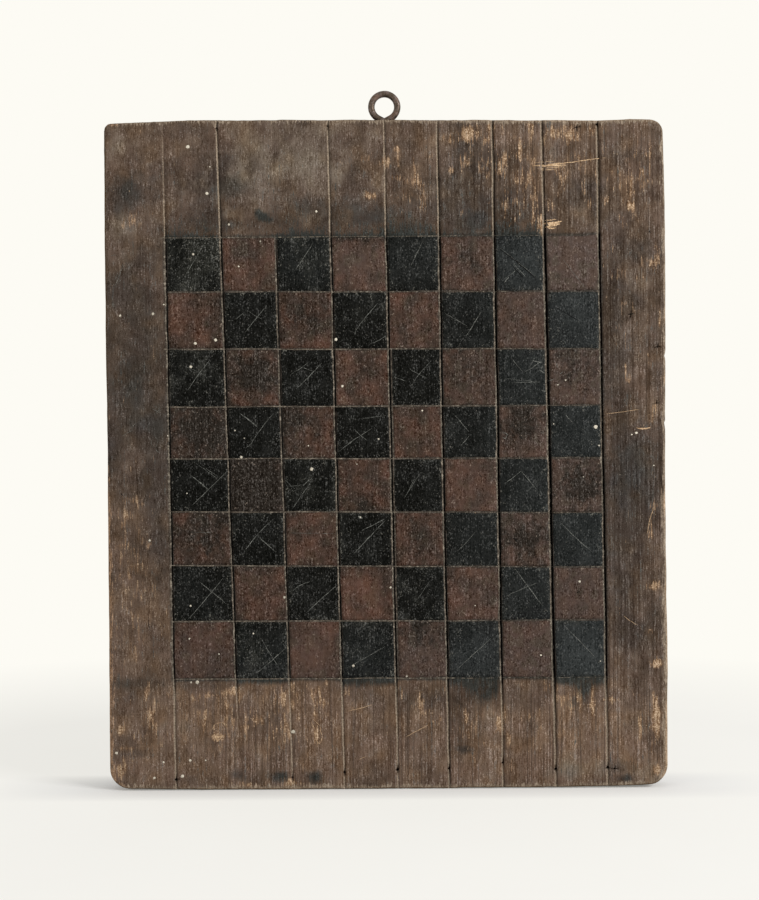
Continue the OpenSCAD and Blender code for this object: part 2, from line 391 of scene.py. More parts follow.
# Marks seen on the face, as soft spots: (across, height, half width, half height, strength).
# Wood rubbed bare.
BARE_SPOTS = [
    (54, 417, 10, 7, 1.1), (68, 419, 3.2, 9, 1.1), (65, 413, 2.5, 5.1, 1), (93, 419, 3.8, 10, 1),
    (102, 413, 2.5, 6, 0.8), (115, 416, 15, 8, 0.9), (132, 419, 3.2, 6, 0.8), (8, 408, 2.5, 3.2, 1.2),
    (8, 397, 1.9, 9, 0.8), (6, 389, 5.1, 2.5, 0.8), (19, 388, 8, 14, 0.75), (25, 375, 3.8, 10, 0.7),
    (40, 413, 5.1, 5.1, 0.7), (42, 394, 3.2, 3.2, 1.1), (53, 398, 9, 3.8, 0.7), (47, 400, 3.2, 6, 0.8),
    (73, 397, 2.5, 13, 0.6), (85, 390, 6, 14, 0.75), (93, 390, 3.2, 11, 0.85), (95, 371, 3.2, 13, 0.85),
    (99, 358, 2.5, 8, 1.2), (76, 375, 2.5, 11, 0.9), (111, 393, 6, 10, 0.7), (127, 387, 3.8, 15, 0.6),
    (130, 371, 2.5, 6, 1), (108, 381, 2.5, 10, 0.5), (156, 384, 3.2, 19, 0.8), (157, 370, 3.2, 3.8, 1.4),
    (146, 393, 2.5, 19, 0.6), (163, 387, 2.5, 15, 0.7), (169, 399, 2.5, 19, 0.8), (151, 412, 3.8, 8, 0.7),
    (140, 374, 1.9, 6, 0.6), (-9, 378, 4.5, 3.2, 1.3), (-12, 402, 5.1, 3.8, 0.7), (0, 400, 3.8, 5.1, 0.9),
    (-6, 385, 3.8, 6, 0.6), (-99, 63, 5.1, 3.2, 1.4), (-95, 58, 2.5, 6, 0.9), (-113, 61, 8, 2.5, 0.8),
    (-153, 64, 3.2, 9, 0.9), (-150, 48, 2.5, 13, 0.8), (-139, 58, 3.2, 9, 0.7), (-169, 39, 3.2, 3.8, 1),
    (-168, 27, 6, 1.9, 0.9), (-109, 34, 6, 3.2, 1.5), (-106, 42, 3.8, 5.1, 0.7), (-123, 58, 3.2, 6, 0.7),
    (-91, 40, 9, 2.5, 0.9), (-62, 64, 3.8, 8, 0.8), (-61, 54, 2.5, 9, 0.8), (-47, 48, 2.5, 3.8, 0.9),
    (-45, 35, 3.2, 9, 1), (-40, 59, 2.5, 13, 0.9), (-50, 64, 5.1, 6, 0.6), (-27, 63, 6, 5.1, 0.6),
    (-24, 51, 5.1, 10, 0.4), (-2, 35, 6, 9, 0.5), (20, 54, 3.2, 9, 1.1), (23, 49, 6, 4.5, 0.8),
    (49, 47, 2.5, 10, 0.9), (52, 38, 9, 9, 0.6), (33, 43, 3.2, 6, 0.7), (71, 41, 5.1, 6, 1),
    (76, 31, 3.8, 9, 0.7), (97, 37, 5.1, 5.1, 0.4), (122, 56, 1.9, 11, 1.2), (130, 53, 1.9, 19, 1.2),
    (117, 49, 3.2, 5.1, 0.8), (109, 56, 6, 5.1, 0.9), (109, 34, 3.8, 8, 0.7), (141, 56, 9, 1.9, 1),
    (160, 34, 1.9, 15, 1), (166, 27, 1.9, 10, 0.7), (171, 43, 3.2, 15, 1.3), (170, 11, 5.1, 5.1, 1.1),
    (171, 79, 5.1, 3, 1.6), (170, 56, 3.2, 6, 1), (170, 128.5, 4.5, 3.5, 1.4), (167, 100, 3.8, 1.9, 0.8),
    (171, 170, 2.5, 9, 0.6), (-180, 122, 3.2, 25, 0.5), (-167, 172, 6, 15, 0.6), (-163, 185, 10, 6, 0.5),
    (-161, 109, 3.8, 19, 0.5), (-170, 90, 5.1, 13, 0.5), (-154, 122, 3.2, 13, 0.45),
    (-145, 39, 2.5, 19, 0.5), (52, 18, 8, 6, 0.4), (77, 12, 3.8, 6, 0.6), (-56, 19, 13, 5.1, 0.3),
    (-120, 20, 13, 6, 0.3), (103, 63, 10, 3.8, 0.5), (8, 63, 6, 5.1, 0.4), (149, 326, 14, 5.1, 0.55),
    (155, 304, 9, 3.8, 0.45), (165, 336, 5.1, 8, 0.5), (149, 285, 5.1, 13, 0.4), (168, 272, 3.2, 19, 0.5),
    (-162, 362, 8, 6, 0.8), (-154, 421, 10, 3.8, 0.5), (-150, 366, 3.8, 3.2, 0.6), (75, 397, 5, 10, 0.9),
    (61, 398, 3, 12, 0.8), (-62, 60, 30, 8, 0.6), (-100, 60, 25, 7, 0.5), (-108, 44, 34, 22, 0.55),
    (-62, 40, 26, 22, 0.5), (-152, 44, 14, 22, 0.5), (75, 45, 60, 20, 0.3), (-41, 54, 8, 12, 0.6),
    (20, 50, 18, 14, 0.3), (118, 52, 18, 12, 0.35), (-152, 52, 12, 20, 0.5), (-44, 48, 12, 14, 0.5),
    (-163, 138, 17, 62, 0.48), (88, 398, 34, 26, 0.42), (52, 404, 22, 20, 0.38), (120, 396, 26, 24, 0.36),
    (156, 384, 16, 36, 0.42), (88, 374, 10, 22, 0.5), (104, 372, 5, 14, 0.65), (82, 366, 4, 10, 0.6),
    (66, 388, 5, 10, 0.6), (-69.5, 57, 6, 11, 0.85), (-46, 57, 6, 11, 0.9), (-35, 47, 5, 12, 0.6),
    (-82, 44, 10, 6, 0.6), (-62, 4, 9, 5, 1.1), (-170, 14, 6, 8, 0.9), (-88, 3, 12, 2.5, 0.9),
    (86, 405, 3, 12, 0.9), (-153, 62, 3, 6, 0.9), (-150, 50, 2.5, 8, 0.9), (-149, 40, 2, 6, 0.8),
    (-116, 61, 6, 2, 0.8), (-103, 54, 3, 4, 0.85), (-106, 50, 2.5, 5, 0.75), (-72, 62, 2.5, 8, 0.8),
    (-66, 57, 2.5, 10, 0.8), (-62, 65, 2.2, 6, 0.8), (-160, 82, 2.2, 10, 0.75), (-139, 58, 1.8, 10, 0.7),
    (107, 63, 2.5, 8, 0.8), (74, 46, 3.5, 9, 0.9), (170, 335, 2.5, 8, 0.85), (173, 338, 2, 9, 0.8),
    (165, 329, 2.2, 6, 0.6), (151, 309, 2.5, 5, 0.7), (154, 261, 2.2, 6, 0.7), (176, 261, 2, 6, 0.9),
    (171, 242, 2.2, 5, 0.8), (172, 180, 3.5, 5, 0.8), (168, 164, 2, 9, 0.8), (176, 183, 2, 10, 0.8),
    (175, 300, 1.8, 12, 0.7),
]
# Wood dark with dirt.
GRIME_SPOTS = [
    (-165, 381, 12, 15, 0.8), (-97.4, 360.1, 9, 4, 0.7), (-6, 366.1, 26, 9, 0.6), (53.7, 359.1, 10, 6, 0.8),
    (15.9, 357.2, 19, 4, 0.8), (-163, 258.7, 15, 29, 0.75), (158, 205.1, 17, 26, 0.5),
    (48.7, 25.1, 6, 3, 0.8), (-126.2, 7.3, 9, 4, 0.5), (-47.7, 371.1, 26, 8, 0.5),
    (-161, 391.9, 10, 5, 0.5), (86.5, 406.9, 13, 6, 0.6), (-2, 15.2, 6, 6, 0.3), (-75.6, 10.2, 13, 5, 0.4),
    (-159, 299.5, 18, 60, 0.35), (159, 329.3, 18, 40, 0.2), (-149.1, 160.3, 20, 30, 0.2),
    (-104.4, 339.3, 12, 20, 0.3), (164, 90.8, 12, 10, 0.4), (59.6, 384, 10, 18, 0.4),
    (149.1, 13.2, 12, 6, 0.6), (53, 42, 13, 14, 0.5), (-22, 62, 10, 6, 0.4), (-85, 66, 14, 5, 0.4),
    (-160, 68, 22, 6, 0.7), (-125, 67, 18, 4, 0.5), (-146, 231, 8, 14, 0.85), (-146, 203, 6, 12, 0.3),
    (-98, 385, 12, 9, 0.85), (30, 367, 16, 8, 0.3), (156, 41, 9, 9, 0.35),
]
# Wood smeared black.
SOOT_SPOTS = [
    (-78, 365, 5.1, 3.5, 1.5), (-81, 367, 3.2, 3.2, 1.3), (-74, 363, 3.2, 2.5, 1.2),
    (-161, 70, 19, 1.9, 0.5), (150, 6, 7, 2.5, 0.75), (59, 357, 9, 4.5, 0.6), (60, 365, 8, 4.5, 0.55),
    (8, 357, 9, 3.8, 0.7), (-115, 362, 8, 3.2, 0.5), (-121, 357, 10, 2.5, 0.5), (-41, 357, 10, 3.2, 0.5),
    (-65, 359, 6, 1.9, 0.4), (-68, 9, 6, 5, 0.95), (-46, 8, 7, 5, 1), (-95, 9, 6, 3, 0.5),
    (-168, 68, 14, 4, 0.5),
]
# Wood pale with dust.
HAZE_SPOTS = [
    (-80, 400, 32, 26, 0.9), (-54, 407, 32, 25, 0.9), (-35, 391, 25, 19, 0.7), (-114, 408, 25, 22, 0.55),
    (-169, 357, 9, 10, 0.7), (-168, 408, 14, 18, 0.6), (-9, 401, 13, 25, 0.5), (125, 12, 45, 9, 0.9),
    (-98, 416, 14, 10, 0.6), (-41, 368, 14, 9, 0.5), (-98, 368, 12, 8, 0.4),
]
# How light the wood is, 0 for its darkest parts and 1 for the foot: spots that add to LIFT_PLAIN.
LIFT_PLAIN = 0.35
LIFT_SPOTS = [
    (-166, 233, 23, 57, -0.4), (-161, 293, 22, 38, -0.3), (-164, 122, 22, 38, 0.35),
    (-5, 46, 191, 30, 0.62), (160, 30, 22, 25, 0.3), (120, 40, 25, 25, 0.2), (162, 330, 22, 38, -0.05),
    (158, 196, 23, 60, -0.4), (53, 385, 19, 38, -0.35), (20, 400, 20, 32, 0.15), (122, 385, 19, 38, -0.15),
    (150, 400, 25, 38, 0.15), (-92, 395, 38, 25, 0.05), (-118, 360, 19, 9, -0.25), (-35, 361, 38, 8, -0.3),
    (-170, 405, 16, 22, 0.3), (-145, 400, 20, 20, 0.1), (-115, 416, 30, 10, 0.3), (-60, 416, 30, 8, 0.15),
    (75, 416, 14, 11, 0.4), (120, 420, 30, 8, 0.25), (160, 414, 14, 10, 0.2), (-110, 386, 22, 12, -0.45),
    (30, 385, 20, 12, -0.4), (100, 384, 12, 10, 0.3), (160, 370, 16, 10, 0.3), (0, 12, 200, 14, 0.3),
    (100, 12, 50, 14, 0.3), (-150, 12, 20, 12, 0.15), (-40, 52, 12, 16, 0.35), (-98, 50, 14, 16, 0.25),
    (25, 58, 26, 9, -0.45), (-12, 58, 12, 8, -0.2), (130, 30, 40, 16, 0.25), (-145, 230, 7, 18, -0.7),
    (-145, 195, 7, 25, -0.4), (-145, 150, 7, 25, -0.3), (-145, 344, 7, 14, -0.3), (-171, 256, 10, 16, 0.2),
    (-165, 172, 14, 14, 0.3), (-173, 150, 8, 20, 0.3), (147, 272, 8, 40, -0.35), (157, 315, 16, 14, -0.2),
    (166, 262, 8, 30, 0.25), (157, 230, 9, 16, 0.25), (147, 130, 8, 40, -0.3), (157, 92, 10, 14, -0.25),
    (168, 130, 8, 30, 0.2), (95, 407, 14, 14, 0.2), (88, 372, 12, 20, -0.1), (-40, 52, 12, 12, 0.35),
    (-12, 44, 12, 20, -0.2), (18, 55, 14, 9, -0.45), (46, 55, 14, 9, -0.35), (72, 54, 12, 9, -0.25),
    (98, 56, 12, 8, -0.25), (127, 56, 12, 8, -0.15), (156, 40, 12, 10, -0.45), (46, 27, 12, 9, -0.25),
    (74, 27, 10, 9, -0.2), (-12, 13, 12, 8, -0.3), (99, 12, 12, 8, 0.25), (-158, 14, 10, 9, 0.3),
    (143, 12, 22, 8, 0.2), (-126, 399, 12, 8, 0.35), (-97, 399, 12, 8, -0.15), (-85, 391, 14, 12, -0.15),
    (-90, 52, 12, 8, -0.12), (-11, 399, 13, 8, 0.25), (17, 405, 14, 12, 0.12), (74, 399, 10, 8, -0.15),
    (-157, 384, 10, 8, 0.2), (-125, 384, 11, 8, -0.1), (-97, 384, 12, 8, -0.3), (46, 384, 14, 8, -0.15),
    (99, 384, 10, 9, 0.2), (0, 366, 160, 9, -0.15), (9, 416, 14, 6, 0.15), (-167, 262, 8, 30, 0.25),
    (-146, 231, 8, 13, -0.4), (-146, 203, 8, 12, -0.2), (-157, 174, 8, 10, 0.2), (-168, 146, 6, 12, 0.15),
    (-158, 118, 16, 12, -0.15), (158, 318, 12, 14, -0.12), (150, 231, 6, 12, -0.2),
    (155, 95, 12, 12, -0.22), (168, 206, 5, 20, 0.2), (-162, 138, 16, 26, -0.22), (-146, 205, 6, 30, -0.25),
    (-70, 50, 12, 14, -0.22), (168, 343, 7, 14, -0.2),
]
# Black paint scratched up past the top line, at columns from the left.
BLEED_REACH = 7.0
BLEED_COLUMN = [-0.6, -0.5, 0.4, 0.6, 1.4, 1.6, 2.4, 2.6, 3.4, 3.6, 4.4, 4.6, 5.4, 5.6, 6.4, 6.5, 7]
BLEED = [0, 0.9, 0.8, 0.2, 0.3, 0.9, 1.0, 0.5, 0.6, 1.3, 1.0, 0.3, 0.6, 1.2, 0.9, 0, 0]
# Black paint run down below the bottom line: at places across, how far, and over what blur.
SPILL_X = [-140, -135, -110, -98, -96, -80, -63, -61, -45, -31, -29, -18, 5, 7, 20, 36,
           38, 46, 54, 60, 69, 72, 75, 104, 106, 113, 120, 124, 127, 131, 138, 140]
SPILL_DEPTH = [0, 1.0, 0.6, 0.4, 3.2, 4.0, 3.2, 0.4, 0.4, 0.8, 5.0, 6.0, 5.0, 0.8, 1.2, 1.0,
               5.0, 10.0, 15.0, 19.0, 15.0, 5.0, 0.4, 0.4, 4.5, 5.0, 8.0, 15.0, 14.0, 7.0, 4.5, 0]
SPILL_BLUR = [2, 3, 3, 2, 2.5, 2.5, 2.5, 2, 2, 2, 3, 3.5, 3, 3, 3, 3,
              5, 9, 10, 10, 8, 5, 2, 2, 3, 3, 5, 8, 8, 5, 3, 2]
# Places gone ashy: a dark bluish grey, from handling and old polish.
ASH_SPOTS = [
    (-165, 384, 15, 14, 0.75), (-163, 258, 15, 19, 0.8), (-157, 233, 17, 10, 0.65), (-175, 217, 6, 14, 0.5),
    (-149, 204, 9, 6, 0.4), (-165, 58, 15, 6, 0.5), (-160, 24, 10, 3.8, 0.7), (-172, 54, 5.1, 5.1, 0.5),
    (-95, 10, 8, 3.8, 0.6), (-72, 9, 4.5, 4.5, 0.75), (-48, 8, 6, 5.1, 0.75), (-99, 47, 4.5, 6, 0.6),
    (47, 26, 9, 3.2, 0.75), (28, 12, 6, 4.5, 0.4), (150, 6, 8, 3.2, 0.9), (42, 40, 6, 13, 0.4),
    (11, 56, 5.1, 8, 0.5), (91, 41, 6, 9, 0.55), (119, 55, 5.1, 6, 0.6), (154, 197, 17, 24, 0.85),
    (143, 145, 10, 28, 0.35), (167, 180, 8, 13, 0.6), (57, 364, 9, 6, 0.9), (57, 384, 9, 13, 0.4),
    (48, 407, 6, 8, 0.35), (6, 383, 6, 13, 0.45), (86, 363, 17, 6, 0.6), (-21, 375, 19, 11, 0.5),
    (-6, 364, 14, 6, 0.7), (-52, 372, 17, 8, 0.55), (-115, 371, 8, 11, 0.45), (112, 406, 9, 5.1, 0.35),
    (81, 397, 5.1, 10, 0.4), (124, 377, 8, 9, 0.35), (162, 393, 6, 11, 0.35), (-150, 293, 11, 10, 0.3),
    (-170, 367, 5.1, 8, 0.3), (-151, 96, 6, 9, 0.3), (-143, 147, 5.1, 13, 0.35), (-165, 160, 10, 10, 0.2),
    (21, 408, 8, 6, 0.35),
]


def open_grain_of(x, z):
    """How far the soft wood between the growth lines has worn away: most on the right and at the
    foot, little in the left margin."""
    right = 0.9 * np.clip(x / 120 + 0.1, 0, 1)
    foot = 0.7 * np.clip((130 - z) / 90, 0, 1) * np.clip((x + 160) / 80, 0.2, 1)
    return np.clip(0.35 + right + foot, 0, 1)


def bleed_of(x, z):
    """Black paint scratched up past the top line: BLEED over each column, falling off as
    exp(-(height above the line) / BLEED_REACH)."""
    over = z - cross_z(0, x)
    column = (x - line_x(0, z)) / SQUARE_W - 0.5
    return np.interp(column, BLEED_COLUMN, BLEED) * np.exp(-np.abs(over) / BLEED_REACH) * (over > -2)


def spill_of(x, z):
    """Black paint run down past the bottom line: 1 at the line, 0.5 at SPILL_DEPTH below it, and 0
    further down, over a blur of SPILL_BLUR."""
    below = cross_z(8, x) - z
    depth, blur = np.interp(x, SPILL_X, SPILL_DEPTH), np.interp(x, SPILL_X, SPILL_BLUR)
    return np.clip(0.5 + (depth - below) / (1.6 * blur), 0, 1) * (below > -1) * (depth > 0.3)


def lay_out_face():
    """The front of the plank as one grid: columns follow the long lines, rows follow the cross
    lines, corners are rounded, and the face is pushed in by wear, cuts, pricks and the arris. With
    it come the levels that its finish reads: pale dust with a painted highlight and painted shade in
    the cuts and pricks, and how far each point lies inside the strips that are rubbed pale or carry
    painted shade along the edges."""
    even_z = row_places(np.zeros(1))[0][0]
    even_x = column_places(np.full(1, FIELD_MID))[0][0]
    x, cuts, slip = column_places(even_z)
    z, crosses = row_places(even_x)
    z = z.T
    rows, columns = x.shape
    left, right = side_edge(even_z, -1)[:, None], side_edge(even_z, 1)[:, None]
    foot, top = foot_edge(even_x)[None, :], top_edge(even_x)[None, :]
    inset = np.stack([x - left, right - x, z - foot, top - z])
    distance = inset.min(axis=0)
    strip = np.stack([
        np.interp(z, *LEFT_STRIP), np.interp(z, *RIGHT_STRIP),
        np.interp(x, *FOOT_STRIP), np.interp(x, *TOP_STRIP),
    ])
    rub = (strip - inset).max(axis=0)
    shadow = np.maximum(np.interp(z, *LEFT_SHADOW) - inset[0], FOOT_SHADOW - inset[2]).clip(-4, 4)
    x, z = round_corners(x, z, left, right, foot, top)

    depth = np.zeros((rows, columns))
    dust_and_glint = np.zeros((rows, columns))
    cut = np.zeros((rows, columns))
    for i, start in enumerate(cuts):
        along = slice(start, start + len(CUT_STATIONS))
        strength = np.interp(even_z, LINE_KNOTS, LINE_STRENGTH[i])
        uneven = 0.7 + 0.6 * line_noise(even_z, 13, 80 + i)
        dark, fill = np.interp(even_z, *DARK_KNOTS), np.interp(even_z, *FILL_KNOTS)[:, None]
        depth[:, along] = (strength * uneven * (0.3 + 0.7 * dark))[:, None] * LINE_DEPTH[i] * CUT_PROFILE
        # The painted shade in the cut, weaker where dust fills it.
        shade = CUT_SHADE * (1 - 0.45 * fill * (CUT_FILL > 0))
        cut[:, along] = (strength * np.clip(uneven, 0, 1) * dark)[:, None] * shade * CUT_DARK[i]
        dusty = CUT_DUST_AND_GLINT * (1 - fill) + CUT_FILL * fill
        dust_and_glint[:, along] = (strength * uneven)[:, None] * LINE_DUST_AND_GLINT[i] * dusty
    strength = np.interp(even_z, SLIP_KNOTS, SLIP_STRENGTH)
    along = slice(slip, slip + len(CROSS_STATIONS))
    depth[:, along] = strength[:, None] * SLIP_DEPTH * CROSS_PROFILE
    dust_and_glint[:, along] = strength[:, None] * SLIP_DUST_AND_GLINT
    for j, start in crosses.items():
        along = slice(start, start + len(CROSS_STATIONS))
        height = np.full(1, FIELD_TOP - j * SQUARE_H)
        scored = (even_x > line_x(0, height) - CROSS_OVERRUN) & (even_x < line_x(8, height) + CROSS_OVERRUN)
        # Some cross lines run on faintly past the squares.
        faint = 0.25 * (((j < 2) & (even_x > 0)) | ((j in (3, 4)) & (even_x < 0)))
        run = np.where(scored, 1.0, faint)
        uneven = 0.5 + 0.9 * line_noise(even_x, 8, 100 + j)
        groove = run * uneven * CROSS_PROFILE[:, None]
        depth[along] = np.maximum(depth[along], groove * CROSS_DEPTH)
        pale = (1.1 if j > 1 else 0.8) * np.interp(even_x, *CROSS_PALE)
        dust_and_glint[along] = np.maximum(dust_and_glint[along], groove * pale)
        cut[along] = np.maximum(cut[along], run * np.interp(even_x, *CROSS_DARK) * CROSS_SHADE[:, None])

    # The grid is drawn in to each prick, so that the hole comes out round.
    for line, height, radius in LINE_PRICKS:
        row = int(np.argmin(np.abs(even_z - height)))
        along = slice(cuts[line], cuts[line] + len(CUT_STATIONS))
        for step in (-1, 0, 1):
            z[row + step, along] = height + step * radius * PRICK_SPREAD
    for across, height, radius in PLAIN_PRICKS:
        row, column = np.unravel_index(np.argmin(np.hypot(x - across, z - height)), x.shape)
        for step in (-1, 0, 1):
            x[row - 1:row + 2, column + step] = across + step * radius * PRICK_SPREAD
            z[row + step, column - 1:column + 2] = height + step * radius * PRICK_SPREAD
    on_lines = [
        (line_x(line, np.full(1, float(height)))[0], height, radius) for line, height, radius in LINE_PRICKS
    ]
    # Each prick is sunk, darkened with painted shade in its hole, and cleared of dust.
    for across, height, radius in on_lines + PLAIN_PRICKS:
        away = np.hypot(x - across, z - height) / radius
        depth = np.maximum(depth, PRICK_DEPTH * np.clip(1 - away * away, 0, 1))
        near = np.clip(1.8 - 1.5 * away, 0, 1.3)
        cut = np.maximum(cut, near)
        dust_and_glint = dust_and_glint * (1 - near.clip(0, 1))

    y = FACE_Y + np.maximum(arris_drop(distance, x, z, 5), weathering(x, z, 30) + depth)
    return dict(
        x=x, y=y, z=z, cuts=cuts, slip=slip, crosses=crosses, distance=distance,
        cut=cut, dust_and_glint=dust_and_glint, rub=rub, shadow=shadow,
    )


def surface_y(face, x, z):
    """The front's depth at any points, read off its grid: the row by height, then the column by the
    places of that row, both with straight blends between neighbours."""
    rows = np.interp(z, face["z"][:, face["z"].shape[1] // 2], np.arange(face["z"].shape[0]))
    low = np.clip(np.floor(rows).astype(int), 0, face["z"].shape[0] - 2)
    up = (rows - low)[:, None]
    places = face["x"][low] * (1 - up) + face["x"][low + 1] * up
    depths = face["y"][low] * (1 - up) + face["y"][low + 1] * up
    column = np.clip((places <= x[:, None]).sum(axis=1) - 1, 0, places.shape[1] - 2)
    pick = np.arange(len(x))
    span = places[pick, column + 1] - places[pick, column]
    across = np.clip((x - places[pick, column]) / np.maximum(span, 1e-6), 0, 1)
    return depths[pick, column] * (1 - across) + depths[pick, column + 1] * across


def build_plank(face, finish):
    """The whole plank: the front grid, a rim of rows that runs back square to the face with shallow
    saw marks, and a plain weathered back on every second row and column."""
    x, y, z = face["x"], face["y"], face["z"]
    rows, columns = x.shape
    front = np.stack([x, y, z], axis=-1).reshape(-1, 3)
    ring = grid_rim(rows, columns)
    outline = front[ring]

    back_x, back_z, back_distance = x[::2, ::2], z[::2, ::2], face["distance"][::2, ::2]
    back_drop = np.maximum(
        arris_drop(back_distance, back_x + BACK_SHIFT, back_z, 6), weathering(back_x, back_z, 50)
    )
    back = np.stack([back_x, BACK_Y - back_drop, back_z], axis=-1)
    back_rows, back_columns = back_x.shape
    back = back.reshape(-1, 3)
    back_ring = grid_rim(back_rows, back_columns)

    tangent = np.roll(outline, -1, axis=0) - np.roll(outline, 1, axis=0)
    inward = np.stack([-tangent[:, 2], 0 * tangent[:, 0], tangent[:, 0]], axis=-1)
    inward /= np.linalg.norm(inward, axis=1, keepdims=True)
    run = np.cumsum(np.linalg.norm(np.diff(outline, axis=0, append=outline[:1]), axis=1))
    back_y = np.repeat(back[back_ring][:, 1], 2)
    steps = np.arange(1, RIM_ROWS + 1) / (RIM_ROWS + 1)
    rim = []
    for step in steps:
        level = outline[:, 1] * (1 - step) + back_y * step
        scar = 0.16 * value_noise(run, level, 5, 3, 70) + 0.1 * value_noise(run, level, 1.8, 9, 71)
        row = outline + inward * scar[:, None]
        row[:, 1] = level
        rim.append(row)

    points = np.concatenate([front] + rim + [back])
    count, size = len(front), len(ring)
    back_from = count + RIM_ROWS * size
    rings = [ring] + [count + k * size + np.arange(size) for k in range(RIM_ROWS)]
    faces = [grid_quads(rows, columns)]
    faces += [band_quads(a, b) for a, b in zip(rings[:-1], rings[1:])]
    # The back has half as many points round its edge: three triangles join two cells of the last ring
    # to one of its own.
    last, coarse = rings[-1], back_ring + back_from
    first, middle, third = last[::2], last[1::2], np.roll(last, -2)[::2]
    turned = np.roll(coarse, -1)
    faces.append(np.stack([first, coarse, middle], axis=-1))
    faces.append(np.stack([middle, coarse, turned], axis=-1))
    faces.append(np.stack([middle, turned, third], axis=-1))
    faces.append(grid_quads(back_rows, back_columns, back_from)[:, ::-1])

    across, height = points[:, 0], points[:, 2]
    is_front = np.arange(len(points)) < count
    kept = {}
    for key in ("cut", "dust_and_glint", "rub", "shadow"):
        kept[key] = np.full(len(points), 0.0 if key in ("cut", "dust_and_glint") else -4.0)
        kept[key][:count] = face[key].ravel()
    kept["rub"][back_from:] = face["rub"][::2, ::2].ravel() - BACK_LESS_RUBBED
    kept["rub"][count:back_from] = np.concatenate([
        face["rub"].ravel()[ring] - THICKNESS * min(step, 1 - step) - BACK_LESS_RUBBED * step
        for step in steps
    ])
    levels = {
        **kept,
        "bare": is_front * strongest(across, height, BARE_SPOTS),
        "grime": is_front * np.maximum(strongest(across, height, GRIME_SPOTS), field_soil(across, height)),
        "soot": is_front * np.maximum(strongest(across, height, SOOT_SPOTS), spill_of(across, height)),
        "bleed": is_front * bleed_of(across, height),
        "haze": is_front * strongest(across, height, HAZE_SPOTS),
        "ash": is_front * strongest(across, height, ASH_SPOTS),
        "front": is_front.astype(float),
        "lift": LIFT_PLAIN + added_up(across, height, LIFT_SPOTS),
        "beyond": np.interp(height, *BEYOND_KNOTS),
        "open": open_grain_of(across, height),
    }
    piece = make_piece("old_plank", points, faces, finish, levels)
    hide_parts("plank")


# Places where the black is rubbed and dusty.
WORN_SPOTS = [
    (-122, 338, 16, 22, 0.9), (-105, 345, 8, 10, 1), (-50, 336, 14, 14, 0.4), (20, 336, 12, 12, 0.3),
    (-49, 193, 16, 14, 0.6), (-84, 88, 14, 14, 0.6), (-15, 88, 14, 14, 0.4), (-84, 230, 16, 16, -1),
    (-49, 266, 16, 16, -0.9), (-15, 230, 16, 16, -0.8), (-49, 338, 16, 16, 0.3), (-120, 266, 16, 16, 0.5),
    (-16, 300, 16, 16, 0.4), (20, 124, 16, 16, 0.35), (-120, 334, 16, 16, 0.2), (87, 334, 16, 16, 0.3),
]
# Places where both colours have faded further.
FADE_SPOTS = [
    (87, 334, 16, 18, 0.7), (121, 88, 18, 18, 0.5), (53, 88, 16, 16, 0.6), (-50, 88, 17, 17, 0.6),
    (-16, 334, 15, 15, 1), (-120, 86, 18, 16, 0.5), (121, 300, 18, 20, 0.3), (20, 88, 14, 16, 0.8),
    (-50, 336, 17, 18, 0.45), (20, 336, 17, 18, 0.35), (-120, 125, 16, 16, 0.3), (53, 160, 16, 16, 0.3),
    (-16, 88, 16, 16, 0.2), (86, 266, 16, 16, 0.2), (-49, 88, 16, 16, -0.2),
]
# Darkened places in the red.
SMOKE_SPOTS = [
    (-84, 190, 26, 24, 1.2), (-118, 228, 19, 18, 0.8), (-84, 264, 18, 16, 0.8), (-104.4, 304.5, 8, 16, 0.5),
    (-59.6, 239.9, 8, 16, 0.6), (-27.8, 222, 8, 10, 0.5), (-19.9, 351.2, 16, 6, 0.6), (21, 96, 16, 12, 0.5),
    (19.9, 104.7, 8, 10, 0.5), (-109.3, 78.8, 14, 8, 0.4), (51.7, 339.3, 10, 8, 0.3),
    (-89.5, 339.3, 6, 14, 0.5), (19.9, 160.3, 8, 14, 0.6), (84.5, 229.9, 14, 14, 0.6),
    (-14.9, 180.2, 12, 12, 0.5), (54.7, 200.1, 8, 10, 0.2), (124.3, 192, 16, 16, 0.7),
    (-49.7, 160.3, 8, 12, 0.3), (-120, 160, 16, 14, 0.75), (88, 158, 16, 16, 0.75), (-50, 302, 14, 12, 0.5),
    (54, 268, 14, 12, 0.5), (120, 268, 14, 12, 0.4), (-16, 264, 12, 12, 0.4), (-49, 86, 15, 15, -0.6),
    (-15, 124, 15, 15, -0.6), (53, 195, 15, 15, -0.5), (-17, 332, 15, 12, -0.5), (-120, 86, 14, 14, -0.3),
    (-118, 232, 15, 14, 0.4), (-86, 196, 14, 14, 0.4), (-84, 266, 14, 14, 0.3), (88, 235, 13, 13, 0.4),
    (88, 160, 13, 13, 0.4), (-50, 232, 14, 14, 0.3), (-50, 300, 14, 14, 0.2), (-49, 88, 16, 16, -0.6),
    (-16, 124, 16, 16, -0.2), (-50, 160, 16, 16, -0.5), (53, 194, 16, 16, -0.15), (-85, 334, 16, 14, -0.35),
    (-16, 334, 16, 14, -0.15), (-120, 88, 16, 16, -0.2), (53, 334, 16, 14, 0.35), (121, 266, 16, 16, 0.3),
    (121, 194, 16, 16, 0.3), (-85, 194, 16, 16, 0.4), (20, 231, 16, 16, 0.15), (20, 88, 15, 15, -0.1),
    (88, 158, 15, 15, -0.25), (-85, 124, 14, 14, 0.2),
]

# The paint's thickness, at its rim too, how deep it is rooted, and how far in its rim shows.
FILM = 0.09
FILM_EDGE = 0.03
FILM_ROOT = 0.12
RIM_REACH = 2.5


